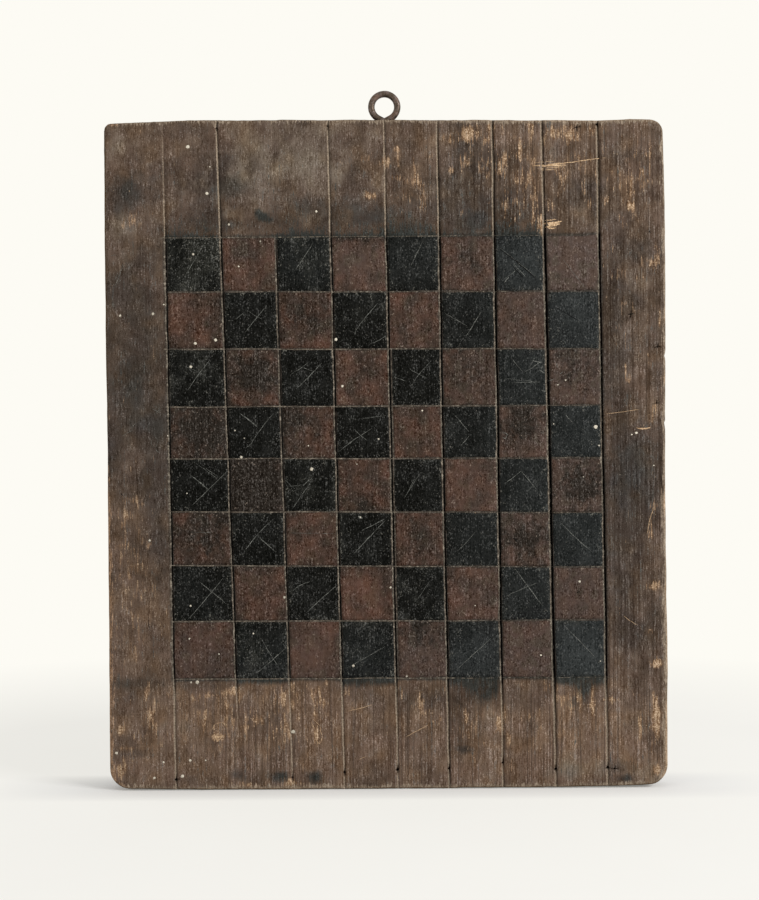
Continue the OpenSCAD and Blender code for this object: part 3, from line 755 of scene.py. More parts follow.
def square_block(face, i, j):
    """Rows and columns of the front grid that one square's paint covers, between the cuts."""
    first = face["cuts"][i] + len(CUT_STATIONS) - 1
    if i == SLIP_LINE and j > 1:
        first = face["slip"] + len(CROSS_STATIONS) - 1
    rows = slice(face["crosses"][j + 1] + len(CROSS_STATIONS) - 1, face["crosses"][j] + 1)
    return rows, slice(first, face["cuts"][i + 1] + 1)


def ragged(places, key):
    """How far a painted edge draws in at places along it."""
    return 0.7 * line_noise(places, 5, key) + 0.5 * line_noise(places, 1.9, key + 64) - 0.5


def build_paint(face, name, parity, seed, finish, node):
    """All squares of one colour as thin closed films: each copies the wood's relief between the
    cuts, stands FILM proud of it, thins to FILM_EDGE at a ragged rim, and closes just under the
    wood's surface."""
    points, faces, rims = [], [], []
    count = 0
    for j in range(8):
        for i in range(8):
            if (i + j) % 2 != parity:
                continue
            rows, columns = square_block(face, i, j)
            x, y, z = (face[axis][rows, columns].copy() for axis in ("x", "y", "z"))
            height, width = x.shape
            key = seed + i + 8 * j
            x[:, 0] += ragged(z[:, 0], key)
            x[:, -1] -= ragged(z[:, -1], key + 100)
            z[0] += ragged(x[0], key + 200)
            z[-1] -= ragged(x[-1], key + 300)
            proud = FILM * (0.8 + 0.4 * value_noise(x, z, 5, 12, seed + 5))
            proud[[0, -1]] = FILM_EDGE
            proud[:, [0, -1]] = FILM_EDGE
            top = np.stack([x, y - proud, z], axis=-1).reshape(-1, 3)
            root = np.stack([x, y + FILM_ROOT, z], axis=-1).reshape(-1, 3)
            points += [top, root]
            inset_x = np.minimum(x - x[:, :1], x[:, -1:] - x)
            inset_z = np.minimum(z - z[:1], z[-1:] - z)
            rim = np.exp(-np.minimum(inset_x, inset_z) / RIM_REACH).ravel()
            rims += [rim, rim]
            ring = grid_rim(height, width)
            size = height * width
            faces += [
                grid_quads(height, width, count),
                grid_quads(height, width, count + size)[:, ::-1],
                band_quads(ring + count, ring + count + size),
            ]
            count += 2 * size
    points = np.concatenate(points)
    across, height = points[:, 0], points[:, 2]
    # Both paints grow greyer towards the right, a painted sheen from the lamp on that side; on top come
    # further fading at the top and bottom rows and at the FADE_SPOTS.
    right = np.clip((across - 20) / 110, 0, 1)
    ends = np.clip((height - 300) / 40, 0, 1) * (0.4 + 0.6 * right) + np.clip((110 - height) / 30, 0, 1)
    levels = {
        "fade_and_sheen": np.clip(0.75 * right + 0.35 * ends, 0, 1.2) + 0.6 * added_up(across, height, FADE_SPOTS),
        "smoke": added_up(across, height, SMOKE_SPOTS),
        "worn": added_up(across, height, WORN_SPOTS),
        "rim": np.concatenate(rims),
    }
    piece = make_piece(name, points, faces, finish, levels)
    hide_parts(node)


# Knife strokes as (across, height) from and to, then width and kind: 0 dark, 1 grey, 2 tan.
STROKES = [
    (-114.3, 349.2, -128.2, 326.3, 0.5, 1), (-45.7, 348.2, -57.7, 330.3, 0.5, 1),
    (-75.6, 308.4, -89.5, 291.5, 0.6, 1), (-90.5, 303.5, -95.4, 299.5, 0.5, 1),
    (-88.5, 305.5, -78.5, 299.5, 0.35, 1), (-5, 309.4, -18.9, 292.5, 0.5, 1),
    (-18.9, 292.5, -19.9, 289.6, 0.5, 1), (0, 288.6, -9.9, 283.6, 0.5, 1),
    (23.9, 348.2, 15.9, 332.3, 0.4, 1), (75.5, 324.3, 83.5, 330.3, 0.45, 1),
    (37.8, 302.5, 51.7, 294.5, 0.45, 1), (60.6, 303.5, 50.7, 287.6, 0.55, 1),
    (107.4, 306.5, 124.3, 296.5, 0.7, 0), (-112.3, 273.7, -126.2, 254.8, 0.55, 1),
    (-126.2, 269.7, -114.3, 263.7, 0.35, 1), (-40.8, 271.7, -57.7, 254.8, 0.6, 1),
    (-60.6, 264.7, -48.7, 272.7, 0.45, 1), (-55.7, 269.7, -43.7, 265.7, 0.35, 1),
    (-71.6, 239.9, -86.5, 220, 0.5, 1), (-91.5, 238.9, -81.5, 231.9, 0.4, 1),
    (-9, 229.9, -31.8, 214, 0.5, 1), (-16.9, 235.9, -1, 237.9, 0.4, 1), (-20.9, 229.9, -11.9, 222, 0.4, 1),
    (-101.4, 203.1, -124.3, 181.2, 0.6, 1), (-125.3, 201.1, -114.3, 192.1, 0.4, 1),
    (-46.7, 198.1, -60.6, 178.2, 0.35, 1), (-72.6, 172.3, -90.5, 152.4, 0.6, 1),
    (-81.5, 161.3, -71.6, 152.4, 0.5, 1), (-1, 171.3, -21.9, 149.4, 0.6, 1),
    (-16.9, 164.3, -1, 172.3, 0.5, 1), (28.8, 272.7, 15.9, 256.8, 0.45, 1),
    (5, 262.7, 12.9, 259.7, 0.35, 1), (14.9, 267.7, 25.8, 261.7, 0.4, 1),
    (79.5, 274.6, 87.5, 264.7, 0.45, 1), (98.4, 271.7, 87.5, 264.7, 0.45, 1),
    (79.5, 258.7, 98.4, 258.7, 0.4, 1), (43.7, 237.9, 52.7, 226.9, 0.45, 1),
    (52.7, 224.9, 46.7, 218, 0.4, 1), (113.3, 238.9, 118.3, 232.9, 0.4, 1),
    (21.9, 202.1, 10.9, 185.2, 0.45, 1), (17.9, 198.1, 12.9, 188.2, 0.35, 1),
    (85.5, 202.1, 95.4, 190.2, 0.45, 1), (74.5, 194.1, 85.5, 202.1, 0.4, 1),
    (96.4, 196.1, 89.5, 189.2, 0.35, 1), (56.7, 164.3, 44.7, 151.4, 0.5, 1),
    (110.3, 169.3, 130.2, 150.4, 0.5, 1), (-104.4, 135.5, -127.2, 108.6, 0.6, 1),
    (-120.3, 133.5, -102.4, 118.6, 0.6, 1), (-32.8, 129.5, -51.7, 112.6, 0.55, 1),
    (-60.6, 126.5, -49.7, 132.5, 0.5, 1), (-65.6, 89.8, -84.5, 73.9, 0.6, 1),
    (-80.5, 96.7, -69.6, 78.8, 0.5, 1), (-2, 90.8, -26.8, 76.8, 0.5, 1),
    (26.8, 132.5, 18.9, 120.6, 0.35, 1), (81.5, 139.5, 98.4, 116.6, 0.55, 1),
    (75.5, 122.6, 94.4, 130.5, 0.5, 1), (65.6, 95.7, 43.7, 75.8, 0.55, 1),
    (112.3, 103.7, 132.2, 82.8, 0.55, 1), (-167, 336.3, -172, 321.4, 0.4, 1),
    (-165, 336.3, -170, 327.3, 0.4, 1), (-168, 225.9, -161, 229.9, 0.5, 1),
    (138.2, 237.9, 161, 240.9, 0.5, 2), (10.9, 33.1, 25.8, 41, 0.6, 2), (150.1, 109.6, 159, 103.7, 0.45, 2),
    (94, 396.2, 121, 398.6, 1.54, 2), (97, 394.2, 113, 395.6, 0.91, 2), (117.3, 398, 141, 401, 0.91, 2),
    (95.5, 398, 108, 398.8, 0.49, 2), (101, 359.6, 112.5, 361, 2.4, 2), (101.4, 361.5, 109, 362.2, 1.2, 2),
    (102, 357.2, 109.5, 358.2, 1.8, 2), (159, 229, 168, 229.4, 1.9, 2), (-25.8, 50, -9.9, 54, 0.5, 2),
    (-18.9, 19.2, -13.9, 21.2, 0.45, 2), (-93.7, 240.1, -81.7, 230.5, 0.8, 1),
    (-125.8, 201.5, -113.1, 191.2, 0.7, 1), (-120.6, 207.8, -107.7, 198.6, 0.35, 1),
    (-115.6, 205.5, -106.7, 199.5, 0.3, 1), (-63.5, 193.2, -52, 194.2, 0.35, 1),
    (-53.3, 193.1, -47.5, 198.2, 0.45, 1), (-64.5, 197.3, -58.4, 191.4, 0.3, 1),
    (-59.7, 179.4, -56.9, 183.9, 0.4, 1), (-81.5, 160.8, -71.1, 151.3, 0.6, 1),
    (-64.3, 163.7, -31.8, 163, 0.3, 1), (-124.7, 164.6, -110.7, 164.2, 0.3, 1),
    (-89.8, 217.8, -84.9, 222.2, 0.3, 1), (-171.8, 322.8, -168.9, 328.4, 0.4, 1),
    (-172.9, 324.4, -170.1, 330.3, 0.4, 1), (-170.5, 322, -167.6, 325.8, 0.35, 1),
    (-175.1, 340.3, -171.6, 341.1, 0.4, 1), (-169.1, 333.1, -166.4, 335, 0.4, 1),
    (-147.9, 239.2, -142, 244.7, 0.45, 1), (-149, 243.2, -141.1, 239.1, 0.4, 1),
    (-145.2, 247.1, -144, 238.3, 0.35, 1), (-148.4, 245.5, -143, 242, 0.35, 1),
    (-161.8, 230.5, -159.9, 233.7, 0.45, 1), (-147.9, 227.7, -145.3, 223.2, 0.4, 1),
    (-145.3, 223.2, -147, 218.2, 0.4, 1), (-147, 218.2, -144.4, 215.3, 0.4, 1),
    (-149.6, 223.3, -148.2, 218.5, 0.35, 1), (-161, 318.8, -159.4, 315.3, 0.4, 0),
    (-159.4, 315.3, -157.5, 318, 0.4, 0), (-145.7, 347, -143.3, 345.4, 0.6, 0),
    (72.4, 343.6, 96, 323.9, 1.5, 0), (73.6, 344.1, 97, 324.7, 0.5, 1), (80.6, 333.2, 88.1, 324.8, 1.1, 0),
    (81.5, 333.8, 89.4, 325.5, 0.45, 1), (75.4, 321.7, 78.6, 325.5, 0.9, 1),
    (-112.8, 37.9, -110.2, 42.3, 0.5, 2), (-110.2, 42.3, -105.8, 43.6, 0.5, 2),
    (-105.8, 43.6, -103.2, 40.4, 0.4, 2), (-111.5, 35.4, -108.4, 31.5, 1.2, 2),
    (-110.3, 34.1, -105.2, 34.7, 1.6, 2), (-109, 30.9, -106.5, 33.4, 1, 2),
    (-49.1, 43.2, -46.6, 38.1, 0.5, 2), (-46.6, 38.1, -45.4, 30.5, 0.5, 2),
    (-47.9, 45.1, -43.4, 40.7, 0.5, 2), (-43.4, 40.7, -42.2, 34.3, 0.5, 2),
    (-42.2, 34.3, -43.5, 29.2, 0.6, 2), (-45.4, 30.5, -43.5, 29.2, 0.7, 2),
    (96.9, 396, 115.3, 396.6, 1.82, 2), (98.8, 393.8, 108.9, 393.9, 0.84, 2),
    (103.6, 358.8, 111.3, 359.1, 2.6, 2), (103, 357.2, 108.7, 356.8, 2, 2),
    (168.5, 354.9, 168.8, 353.1, 1.7, 0), (155.8, 302.8, 156.1, 301.2, 1.2, 0),
    (172.2, 282, 172.5, 280.1, 1.9, 0), (171, 247.3, 171.1, 245.4, 1.9, 0),
    (-151.8, 110.7, -150.9, 101.8, 0.9, 0), (-149.9, 107.5, -150.5, 103.7, 0.7, 0),
    (-169.1, 189.7, -167.8, 188.1, 1.4, 0), (169.5, 216.8, 169.1, 200.3, 0.5, 1),
    (169.7, 195.8, 169, 179.9, 0.5, 1), (169.9, 178.6, 165.4, 160.9, 0.6, 2),
    (84.3, 224, 86.2, 222.4, 1.2, 0), (80.1, 159.5, 82.6, 156.9, 1.3, 0),
    (58.7, 200.3, 60.6, 198.4, 1.2, 0), (73.5, 226.3, 75.4, 226.6, 0.5, 1),
    (75.4, 226.6, 77.3, 225, 0.5, 1), (77.3, 225, 76.1, 222.8, 0.5, 1), (76.1, 222.8, 73.8, 223.8, 0.5, 1),
    (92.7, 272.5, 99.5, 270.9, 0.7, 1), (97.2, 266.4, 101, 264.1, 0.8, 1),
    (98.6, 253.5, 101.7, 252.7, 0.8, 1), (103.2, 259.5, 107, 260.6, 0.5, 1),
    (80.1, 273.4, 85.6, 266.7, 1, 0), (87.3, 259.6, 94.8, 258.1, 0.4, 1),
    (75.2, 261.2, 86.5, 259.6, 0.3, 1), (95, 274.7, 90.4, 267.2, 0.35, 1),
    (112.8, 336.8, 127, 318.5, 0.35, 1), (108.5, 270.6, 109.4, 267.5, 0.5, 1),
    (110.3, 263.6, 112.6, 265.2, 0.4, 1), (-18.3, 174, -15.5, 172.6, 1.9, 1),
]
STROKE_STEPS = 12
PAINT_TOP = FILM * 1.2


def build_strokes(face, finish):
    """The knife strokes as thin closed slivers: along each, the half width follows sin(pi t)^0.4,
    the middle bows a little to one side, and the crest stands just proud of paint or wood."""
    table = np.array(STROKES, dtype=float)
    count = len(table)
    rng = np.random.default_rng(7)
    t = np.linspace(0, 1, STROKE_STEPS)[None, :]
    start, end = table[:, None, 0:2], table[:, None, 2:4]
    middle = start * (1 - t[..., None]) + end * t[..., None]
    along = (end - start) / np.linalg.norm(end - start, axis=-1, keepdims=True)
    aside = np.stack([-along[..., 1], along[..., 0]], axis=-1)
    bow = rng.normal(0, 0.35, (count, 1)) * np.sin(np.pi * t)
    bow = bow + 0.08 * rng.normal(0, 1, (count, STROKE_STEPS))
    middle = middle + aside * bow[..., None]
    uneven = 0.75 + 0.5 * rng.random((count, STROKE_STEPS))
    half = 0.5 * table[:, 4:5] * np.maximum(np.sin(np.pi * t), 0.02) ** 0.4 * uneven
    ground = np.where(on_paint(table[:, 0], table[:, 1]), PAINT_TOP, 0.0)[:, None]
    crest = ground + np.where(table[:, 5:6] == 2, 0.05, 0.035)
    corners = []
    for aside_by, raised in ((-1, -0.05), (0, 1), (1, -0.05)):
        spot = middle + aside * (half * aside_by)[..., None]
        y = surface_y(face, spot[..., 0].ravel(), spot[..., 1].ravel()).reshape(count, -1)
        lift = np.where(raised > 0, crest, ground + raised)
        corners.append(np.stack([spot[..., 0], y - lift, spot[..., 1]], axis=-1))
    under = corners[1].copy()
    under[..., 1] += crest + 0.1
    corners.append(under)
    # The corners are left rim, crest, right rim and underside, and walls between them close a sliver.
    ring = np.stack(corners, axis=2)
    points = ring.reshape(-1, 3)
    index = np.arange(count * STROKE_STEPS * 4).reshape(count, STROKE_STEPS, 4)
    ahead = np.roll(index, -1, axis=2)
    sides = np.stack([index[:, :-1], ahead[:, :-1], ahead[:, 1:], index[:, 1:]], axis=-1).reshape(-1, 4)
    heads, tails = index[:, 0, ::-1], index[:, -1]
    kind = np.repeat(table[:, 5] / 2, STROKE_STEPS * 4)
    piece = make_piece("knife_strokes", points, [sides, heads, tails], finish, {"kind": kind})


# Pale specks as (across, height, radius).
SPECKS = [
    (-125.3, 409.8, 1.3), (-113.3, 380, 1), (-43.7, 368.1, 0.8), (-99.4, 360.1, 0.7), (-122.3, 341.2, 0.85),
    (-148.1, 303.5, 0.95), (-169, 302.5, 0.8), (-108.4, 286.6, 1), (-121.3, 284.6, 1), (-31.8, 286.6, 1),
    (-141.2, 309.4, 0.6), (-111.3, 396.9, 0.45), (-93.4, 333.3, 0.6), (-79.5, 349.2, 0.6),
    (-124.3, 269.7, 1), (-27.8, 256.8, 0.9), (-96.4, 228.9, 0.5), (-90.5, 224, 0.4), (-92.4, 212, 0.9),
    (-49.7, 219, 0.45), (-5, 223, 0.6), (-47.7, 204.1, 1.2), (-127.2, 189.2, 0.45), (-151.1, 159.3, 0.8),
    (-139.2, 225.9, 0.4), (-16.9, 173.3, 0.5), (-18.9, 207.1, 0.4), (22.9, 240.9, 0.6), (133.2, 229.9, 1.3),
    (135.2, 218, 0.55), (159, 225.9, 0.9), (156.1, 224.9, 0.6), (109.3, 256.8, 0.4), (114.3, 259.7, 0.5),
    (106.4, 231.9, 0.4), (170, 205.1, 0.5), (125.2, 198.1, 0.35), (-125.3, 117.6, 0.7),
    (-65.6, 122.6, 0.85), (-85.5, 99.7, 0.6), (-126.2, 96.7, 0.6), (-107.4, 86.8, 0.5), (-21.9, 78.8, 0.9),
    (-121.3, 68.9, 1.1), (-125.3, 68.9, 0.6), (-60.6, 37.1, 1.3), (-126.2, 19.2, 0.85), (-143.1, 18.2, 0.7),
    (-116.3, 19.2, 0.5), (-149.1, 8.2, 0.8), (-131.2, 9.2, 1.1), (-173, 24.2, 1), (2, 128.5, 0.7),
    (122.3, 131.5, 0.8), (97.4, 84.8, 0.6), (11.9, 71.9, 0.6), (55.7, 116.6, 0.4), (135.2, 80.8, 0.35),
]
SPECK_SIDES = 10


def build_specks(face, finish):
    """Specks of pale paint as low closed drops: a ring sunk in the surface, one at full radius on it, a
    smaller one above and a crown; each ring wavers by a seeded share of its radius."""
    table = np.array(SPECKS)
    count = len(table)
    rng = np.random.default_rng(19)
    turn = np.linspace(0, 2 * np.pi, SPECK_SIDES, endpoint=False)
    ground = surface_y(face, table[:, 0], table[:, 1])
    ground = ground - np.where(on_paint(table[:, 0], table[:, 1]), FILM, 0)
    wave = 0.8 + 0.35 * rng.random((count, SPECK_SIDES))
    rings = []
    for share, sunk in ((0.7, 0.3), (1.0, 0.0), (0.62, -0.16)):
        reach = table[:, 2:3] * share * wave
        x = table[:, 0:1] + reach * np.cos(turn)
        z = table[:, 1:2] + reach * np.sin(turn)
        y = (ground + sunk * table[:, 2].clip(0.5, 1.0) * 0.8)[:, None] + 0 * x
        rings.append(np.stack([x, y, z], axis=-1))
    crown = np.stack([table[:, 0], ground - 0.2 * table[:, 2].clip(0.4, 0.9), table[:, 1]], axis=-1)
    each = np.concatenate(rings + [crown[:, None]], axis=1)
    each[..., 1] = np.maximum(each[..., 1], PAINTED_Y)
    size = each.shape[1]
    points = each.reshape(-1, 3)
    base = (np.arange(count) * size)[:, None]
    ring_index = [base + k * SPECK_SIDES + np.arange(SPECK_SIDES) for k in range(3)]
    ahead = [np.roll(ring, -1, axis=1) for ring in ring_index]
    walls = [
        np.stack([ring_index[k], ahead[k], ahead[k + 1], ring_index[k + 1]], axis=-1).reshape(-1, 4)
        for k in range(2)
    ]
    tip = np.broadcast_to(base + size - 1, (count, SPECK_SIDES))
    caps = np.stack([ring_index[2], ahead[2], tip], axis=-1).reshape(-1, 3)
    piece = make_piece("pale_specks", points, walls + [ring_index[0][:, ::-1], caps], finish)


# The screw eye, from the part's source.
WIRE_R = 2.15
LOOP_R = 8.35
LOOP_Z = 436.3
THROAT_SLOPE = math.radians(28)
THROAT_GAP = 0.12
SHANK_R = 2.0
SHANK_TOP = 427.4
SHANK_FOOT = 398.0
POINT_LENGTH = 6.0
THREAD_PITCH = 1.9
WIRE_SIDES = 28
LOOP_STEPS = 150
LEG_STEPS = 12
SHANK_STEPS = 150
PLAIN_NECK = 6.0


def tube(path, radius, sides):
    """A closed tube along a flat path in the board's mid plane: each ring lies across the path's
    direction, and the first and last ring are capped."""
    along = np.gradient(path, axis=0)
    along /= np.linalg.norm(along, axis=1, keepdims=True)
    side = np.stack([along[:, 1], -along[:, 0]], axis=-1)
    turn = np.linspace(0, 2 * np.pi, sides, endpoint=False)
    out, deep = np.cos(turn) * radius, np.sin(turn) * radius
    x = path[:, 0:1] + side[:, 0:1] * out
    z = path[:, 1:2] + side[:, 1:2] * out
    points = np.stack([x, deep + 0 * x, z], axis=-1)
    return points.reshape(-1, 3), tube_quads(len(path), sides)


def build_eye(finish):
    """The iron eye: a wire bent round into a loop whose two legs slope down to a throat, left leg
    butting against the right one, and a threaded shank that tapers to a point inside the wood."""
    start, end = -math.pi / 2 + THROAT_SLOPE, 3 * math.pi / 2 - THROAT_SLOPE
    bend = np.linspace(start, end, LOOP_STEPS)
    ripple = 0.06 * line_noise(bend * 5, 2.0, 201)
    loop_r = LOOP_R - ripple
    arc = np.stack([loop_r * np.cos(bend), LOOP_Z + loop_r * np.sin(bend)], axis=-1)
    run = arc[0, 0] - THROAT_GAP
    leg = np.linspace(1, 0, LEG_STEPS, endpoint=False)[:, None]
    drop = np.array([run, run * math.tan(THROAT_SLOPE)])
    right_leg = arc[0] - leg * drop
    left_leg = (arc[-1] - leg * drop * np.array([-1, 1]))[::-1]
    path = np.concatenate([right_leg, arc, left_leg])
    away = np.linspace(0, 1, len(path))
    worn = 1 - 0.035 * line_noise(away * 60, 5, 203)
    ends = np.clip(np.minimum(away, 1 - away) / 0.012, 0, 1)
    radius = WIRE_R * worn * np.sqrt(0.55 + 0.45 * ends)
    loop_points, loop_faces = tube(path, radius[:, None], WIRE_SIDES)

    down = np.linspace(0, 1, SHANK_STEPS)
    level = SHANK_TOP + (SHANK_FOOT - SHANK_TOP) * down
    taper = np.clip((level - SHANK_FOOT) / POINT_LENGTH, 0.03, 1) ** 0.8
    turn = np.linspace(0, 2 * np.pi, WIRE_SIDES, endpoint=False)
    phase = (level[:, None] / THREAD_PITCH + turn / (2 * np.pi)) % 1
    ridge = np.abs(phase - 0.5) * 2
    threaded = np.clip((SHANK_TOP - PLAIN_NECK - level) / 2, 0, 1)[:, None]
    radius = SHANK_R * taper[:, None] * (1 - 0.2 * threaded * ridge)
    shank = np.stack([radius * np.cos(turn), radius * np.sin(turn), level[:, None] + 0 * radius], axis=-1)
    points = np.concatenate([loop_points, shank.reshape(-1, 3)])
    shank_faces = tube_quads(SHANK_STEPS, WIRE_SIDES)
    faces = loop_faces + [block + len(loop_points) for block in shank_faces]
    piece = make_piece("iron_eye", points, faces, finish)
    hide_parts("screw_eye")


def paint(red, green, blue):
    """A colour given as it looks on a screen, 0 to 255, turned into the linear light a shader takes."""
    shares = np.array([red, green, blue]) / 255
    linear = np.where(shares <= 0.04045, shares / 12.92, ((shares + 0.055) / 1.055) ** 2.4)
    return (*linear.tolist(), 1.0)


def shades(middle, *steps):
    """A ramp's stops round a middle screen colour: six steps of brightness from it, which 2, 15, 50,
    85, 95 and 99 of a hundred points stay below, placed where a noise's tone passes those shares."""
    places = (0.25, 0.38, 0.5, 0.62, 0.7, 0.8)
    return [
        (place, paint(*np.clip(np.array(middle) + step, 2, 255))) for place, step in zip(places, steps)
    ]


WOOD_DARK = shades((69, 60, 53), -24, -12, 0, 12, 22, 42)
WOOD_LIGHT = shades((113, 94, 79), -26, -13, 0, 13, 26, 50)
WOOD_DUSTY = shades((111, 100, 88), -30, -15, 0, 14, 25, 43)
WOOD_DIRTY = shades((55, 52, 48), -20, -11, 0, 11, 21, 38)
WOOD_ASH = shades((59, 56, 54), -23, -12, 0, 12, 22, 40)
WOOD_TAN = shades((138, 108, 82), -42, -21, 0, 20, 38, 62)
EDGE_WORN = shades((129, 114, 97), -38, -21, 0, 18, 32, 52)
WOOD_BARE = shades((154, 128, 101), -38, -21, 0, 20, 37, 60)
SOOT = shades((44, 47, 45), -20, -10, 0, 9, 16, 30)
BLACK_DEEP = shades((23, 23, 21), -16, -10, 0, 12, 24, 52)
BLACK_FADED_AND_SHEEN = shades((52, 55, 55), -22, -11, 0, 8, 14, 28)
BLACK_RUBBED = shades((42, 42, 38), -24, -13, 0, 16, 30, 60)
RED_BROWN = shades((61, 51, 44), -32, -14, 0, 12, 22, 46)
RED_WARM = shades((90, 67, 56), -36, -16, 0, 12, 20, 42)
RED_FADED_AND_SHEEN = shades((82, 70, 63), -30, -13, 0, 9, 16, 34)
RED_SMOKED = shades((40, 36, 32), -20, -11, 0, 12, 24, 44)
# The pale dust in the cuts: its brightest stops are a painted highlight on the wall that faces the lamp.
FIELD_DUST_AND_GLINT = [(0.48, paint(84, 77, 68)), (0.68, paint(118, 109, 97)), (0.86, paint(160, 151, 136))]
BARE_DUST_AND_GLINT = [(0.35, paint(120, 107, 92)), (0.65, paint(168, 152, 133))]
# Slow drifts of hue, multiplied into a colour.
WOOD_HUES = [
    (0.36, (1.0, 0.98, 1.01, 1)), (0.45, (0.99, 0.985, 1.01, 1)),
    (0.54, (1.0, 0.99, 0.985, 1)), (0.66, (1.05, 0.99, 0.91, 1)),
]
RED_HUES = [(0.36, (0.96, 1.01, 0.99, 1)), (0.46, (0.99, 0.98, 1.03, 1)), (0.64, (1.04, 0.985, 0.96, 1))]


def add_node(tree, kind, settings=None, sockets=None):
    """A node of a kind in a tree: its settings first, then the values or links of its sockets."""
    made = tree.nodes.new(kind)
    for key, value in (settings or {}).items():
        setattr(made, key, value)
    for key, value in (sockets or {}).items():
        if isinstance(value, Level):
            value = value.socket
        if isinstance(value, bpy.types.NodeSocket):
            tree.links.new(value, made.inputs[key])
        else:
            made.inputs[key].default_value = value
    return made


class Level:
    """A number that varies over a surface: Python's signs on it add Math nodes."""

    def __init__(self, finish, socket):
        self.finish = finish
        self.socket = socket

    def reckon(self, operation, first, second):
        """A Math node's result."""
        node = self.finish.node("ShaderNodeMath", {"operation": operation}, {0: first, 1: second})
        return Level(self.finish, node.outputs[0])

    def __add__(self, other):
        return self.reckon("ADD", self, other)

    def __sub__(self, other):
        return self.reckon("SUBTRACT", self, other)

    def __mul__(self, other):
        return self.reckon("MULTIPLY", self, other)

    def __rsub__(self, other):
        return self.reckon("SUBTRACT", other, self)

    __radd__ = __add__
    __rmul__ = __mul__

    def most(self, other):
        return self.reckon("MAXIMUM", self, other)

    def swing(self, amount):
        """How far it is from a noise's middle value, 0.5, times an amount."""
        return (self - 0.5) * amount

    def peaked(self):
        """The same sign with small values made smaller and large ones larger: x * (0.3 + 4 |x|)."""
        return self * (self.reckon("ABSOLUTE", self, 0) * 4 + 0.3)

    def between(self, low, high):
        """0 below low, 1 above high, and even in between."""
        values = {"Value": self, "From Min": low, "From Max": high}
        node = self.finish.node("ShaderNodeMapRange", {"clamp": True}, values)
        return Level(self.finish, node.outputs[0])

    def patchy(self):
        """A noise stretched so that some places are calm, at 0, and others strong, at 1."""
        return (self * 3.4 - 1.1).between(0, 1.2)


class Finish:
    """One material: its nodes, the place on the object, and the shader at its end."""

    def __init__(self, name):
        self.material = bpy.data.materials.new(name)
        self.material.use_nodes = True
        self.tree = self.material.node_tree
        self.tree.nodes.clear()
        self.place = self.node("ShaderNodeTexCoord").outputs["Object"]

    def node(self, kind, settings=None, sockets=None):
        return add_node(self.tree, kind, settings, sockets)

    def level(self, name):
        """A number kept on the mesh's points."""
        return Level(self, self.node("ShaderNodeAttribute", {"attribute_name": name}).outputs["Fac"])

    def along(self, axis):
        """The place along an axis, in metres."""
        apart = self.node("ShaderNodeSeparateXYZ", None, {0: self.place})
        return Level(self, apart.outputs[axis])

    def noise(self, width, depth, height, detail=2.0, seed=0.0, rough=0.5):
        """Noise about 0.5 whose blots are width by depth by height millimetres."""
        scale = self.node(
            "ShaderNodeVectorMath", {"operation": "MULTIPLY"},
            {0: self.place, 1: (1 / (width * MM), 1 / (depth * MM), 1 / (height * MM))},
        )
        shift = self.node(
            "ShaderNodeVectorMath", {"operation": "ADD"},
            {0: scale.outputs[0], 1: (seed * 7.31, seed * 3.77, seed * 5.13)},
        )
        values = {"Vector": shift.outputs[0], "Scale": 1.0, "Detail": detail, "Roughness": rough}
        return Level(self, self.node("ShaderNodeTexNoise", None, values).outputs[0])

    def mix(self, under, over, share, blend="MIX"):
        """One colour laid over another by a share."""
        settings = {"data_type": "RGBA", "blend_type": blend}
        return self.node("ShaderNodeMix", settings, {0: share, 6: under, 7: over}).outputs[2]

    def ramp(self, level, stops):
        """A colour for each level, even between its stops."""
        node = self.node("ShaderNodeValToRGB", None, {0: level})
        ramp = node.color_ramp
        ramp.elements[0].position, ramp.elements[0].color = stops[0]
        ramp.elements[1].position, ramp.elements[1].color = stops[-1]
        for position, colour in stops[1:-1]:
            ramp.elements.new(position).color = colour
        return node.outputs[0]

    def lay(self, under, level, stops, share):
        """A ramp's colours laid over another colour by a share."""
        return self.mix(under, self.ramp(level, stops), share)

    def close(self, colour, roughness, height, relief, metallic=0.0, specular=0.5):
        """Ends the material: colour, roughness and a bump of relief millimetres for a level of 1."""
        bump = {"Height": height, "Strength": 1.0, "Distance": relief * MM}
        shader = self.node("ShaderNodeBsdfPrincipled", None, {
            "Base Color": colour, "Roughness": roughness, "Metallic": metallic,
            "Specular IOR Level": specular, "Normal": self.node("ShaderNodeBump", None, bump).outputs[0],
        })
        self.node("ShaderNodeOutputMaterial", None, {"Surface": shader.outputs[0]})
        return self.material


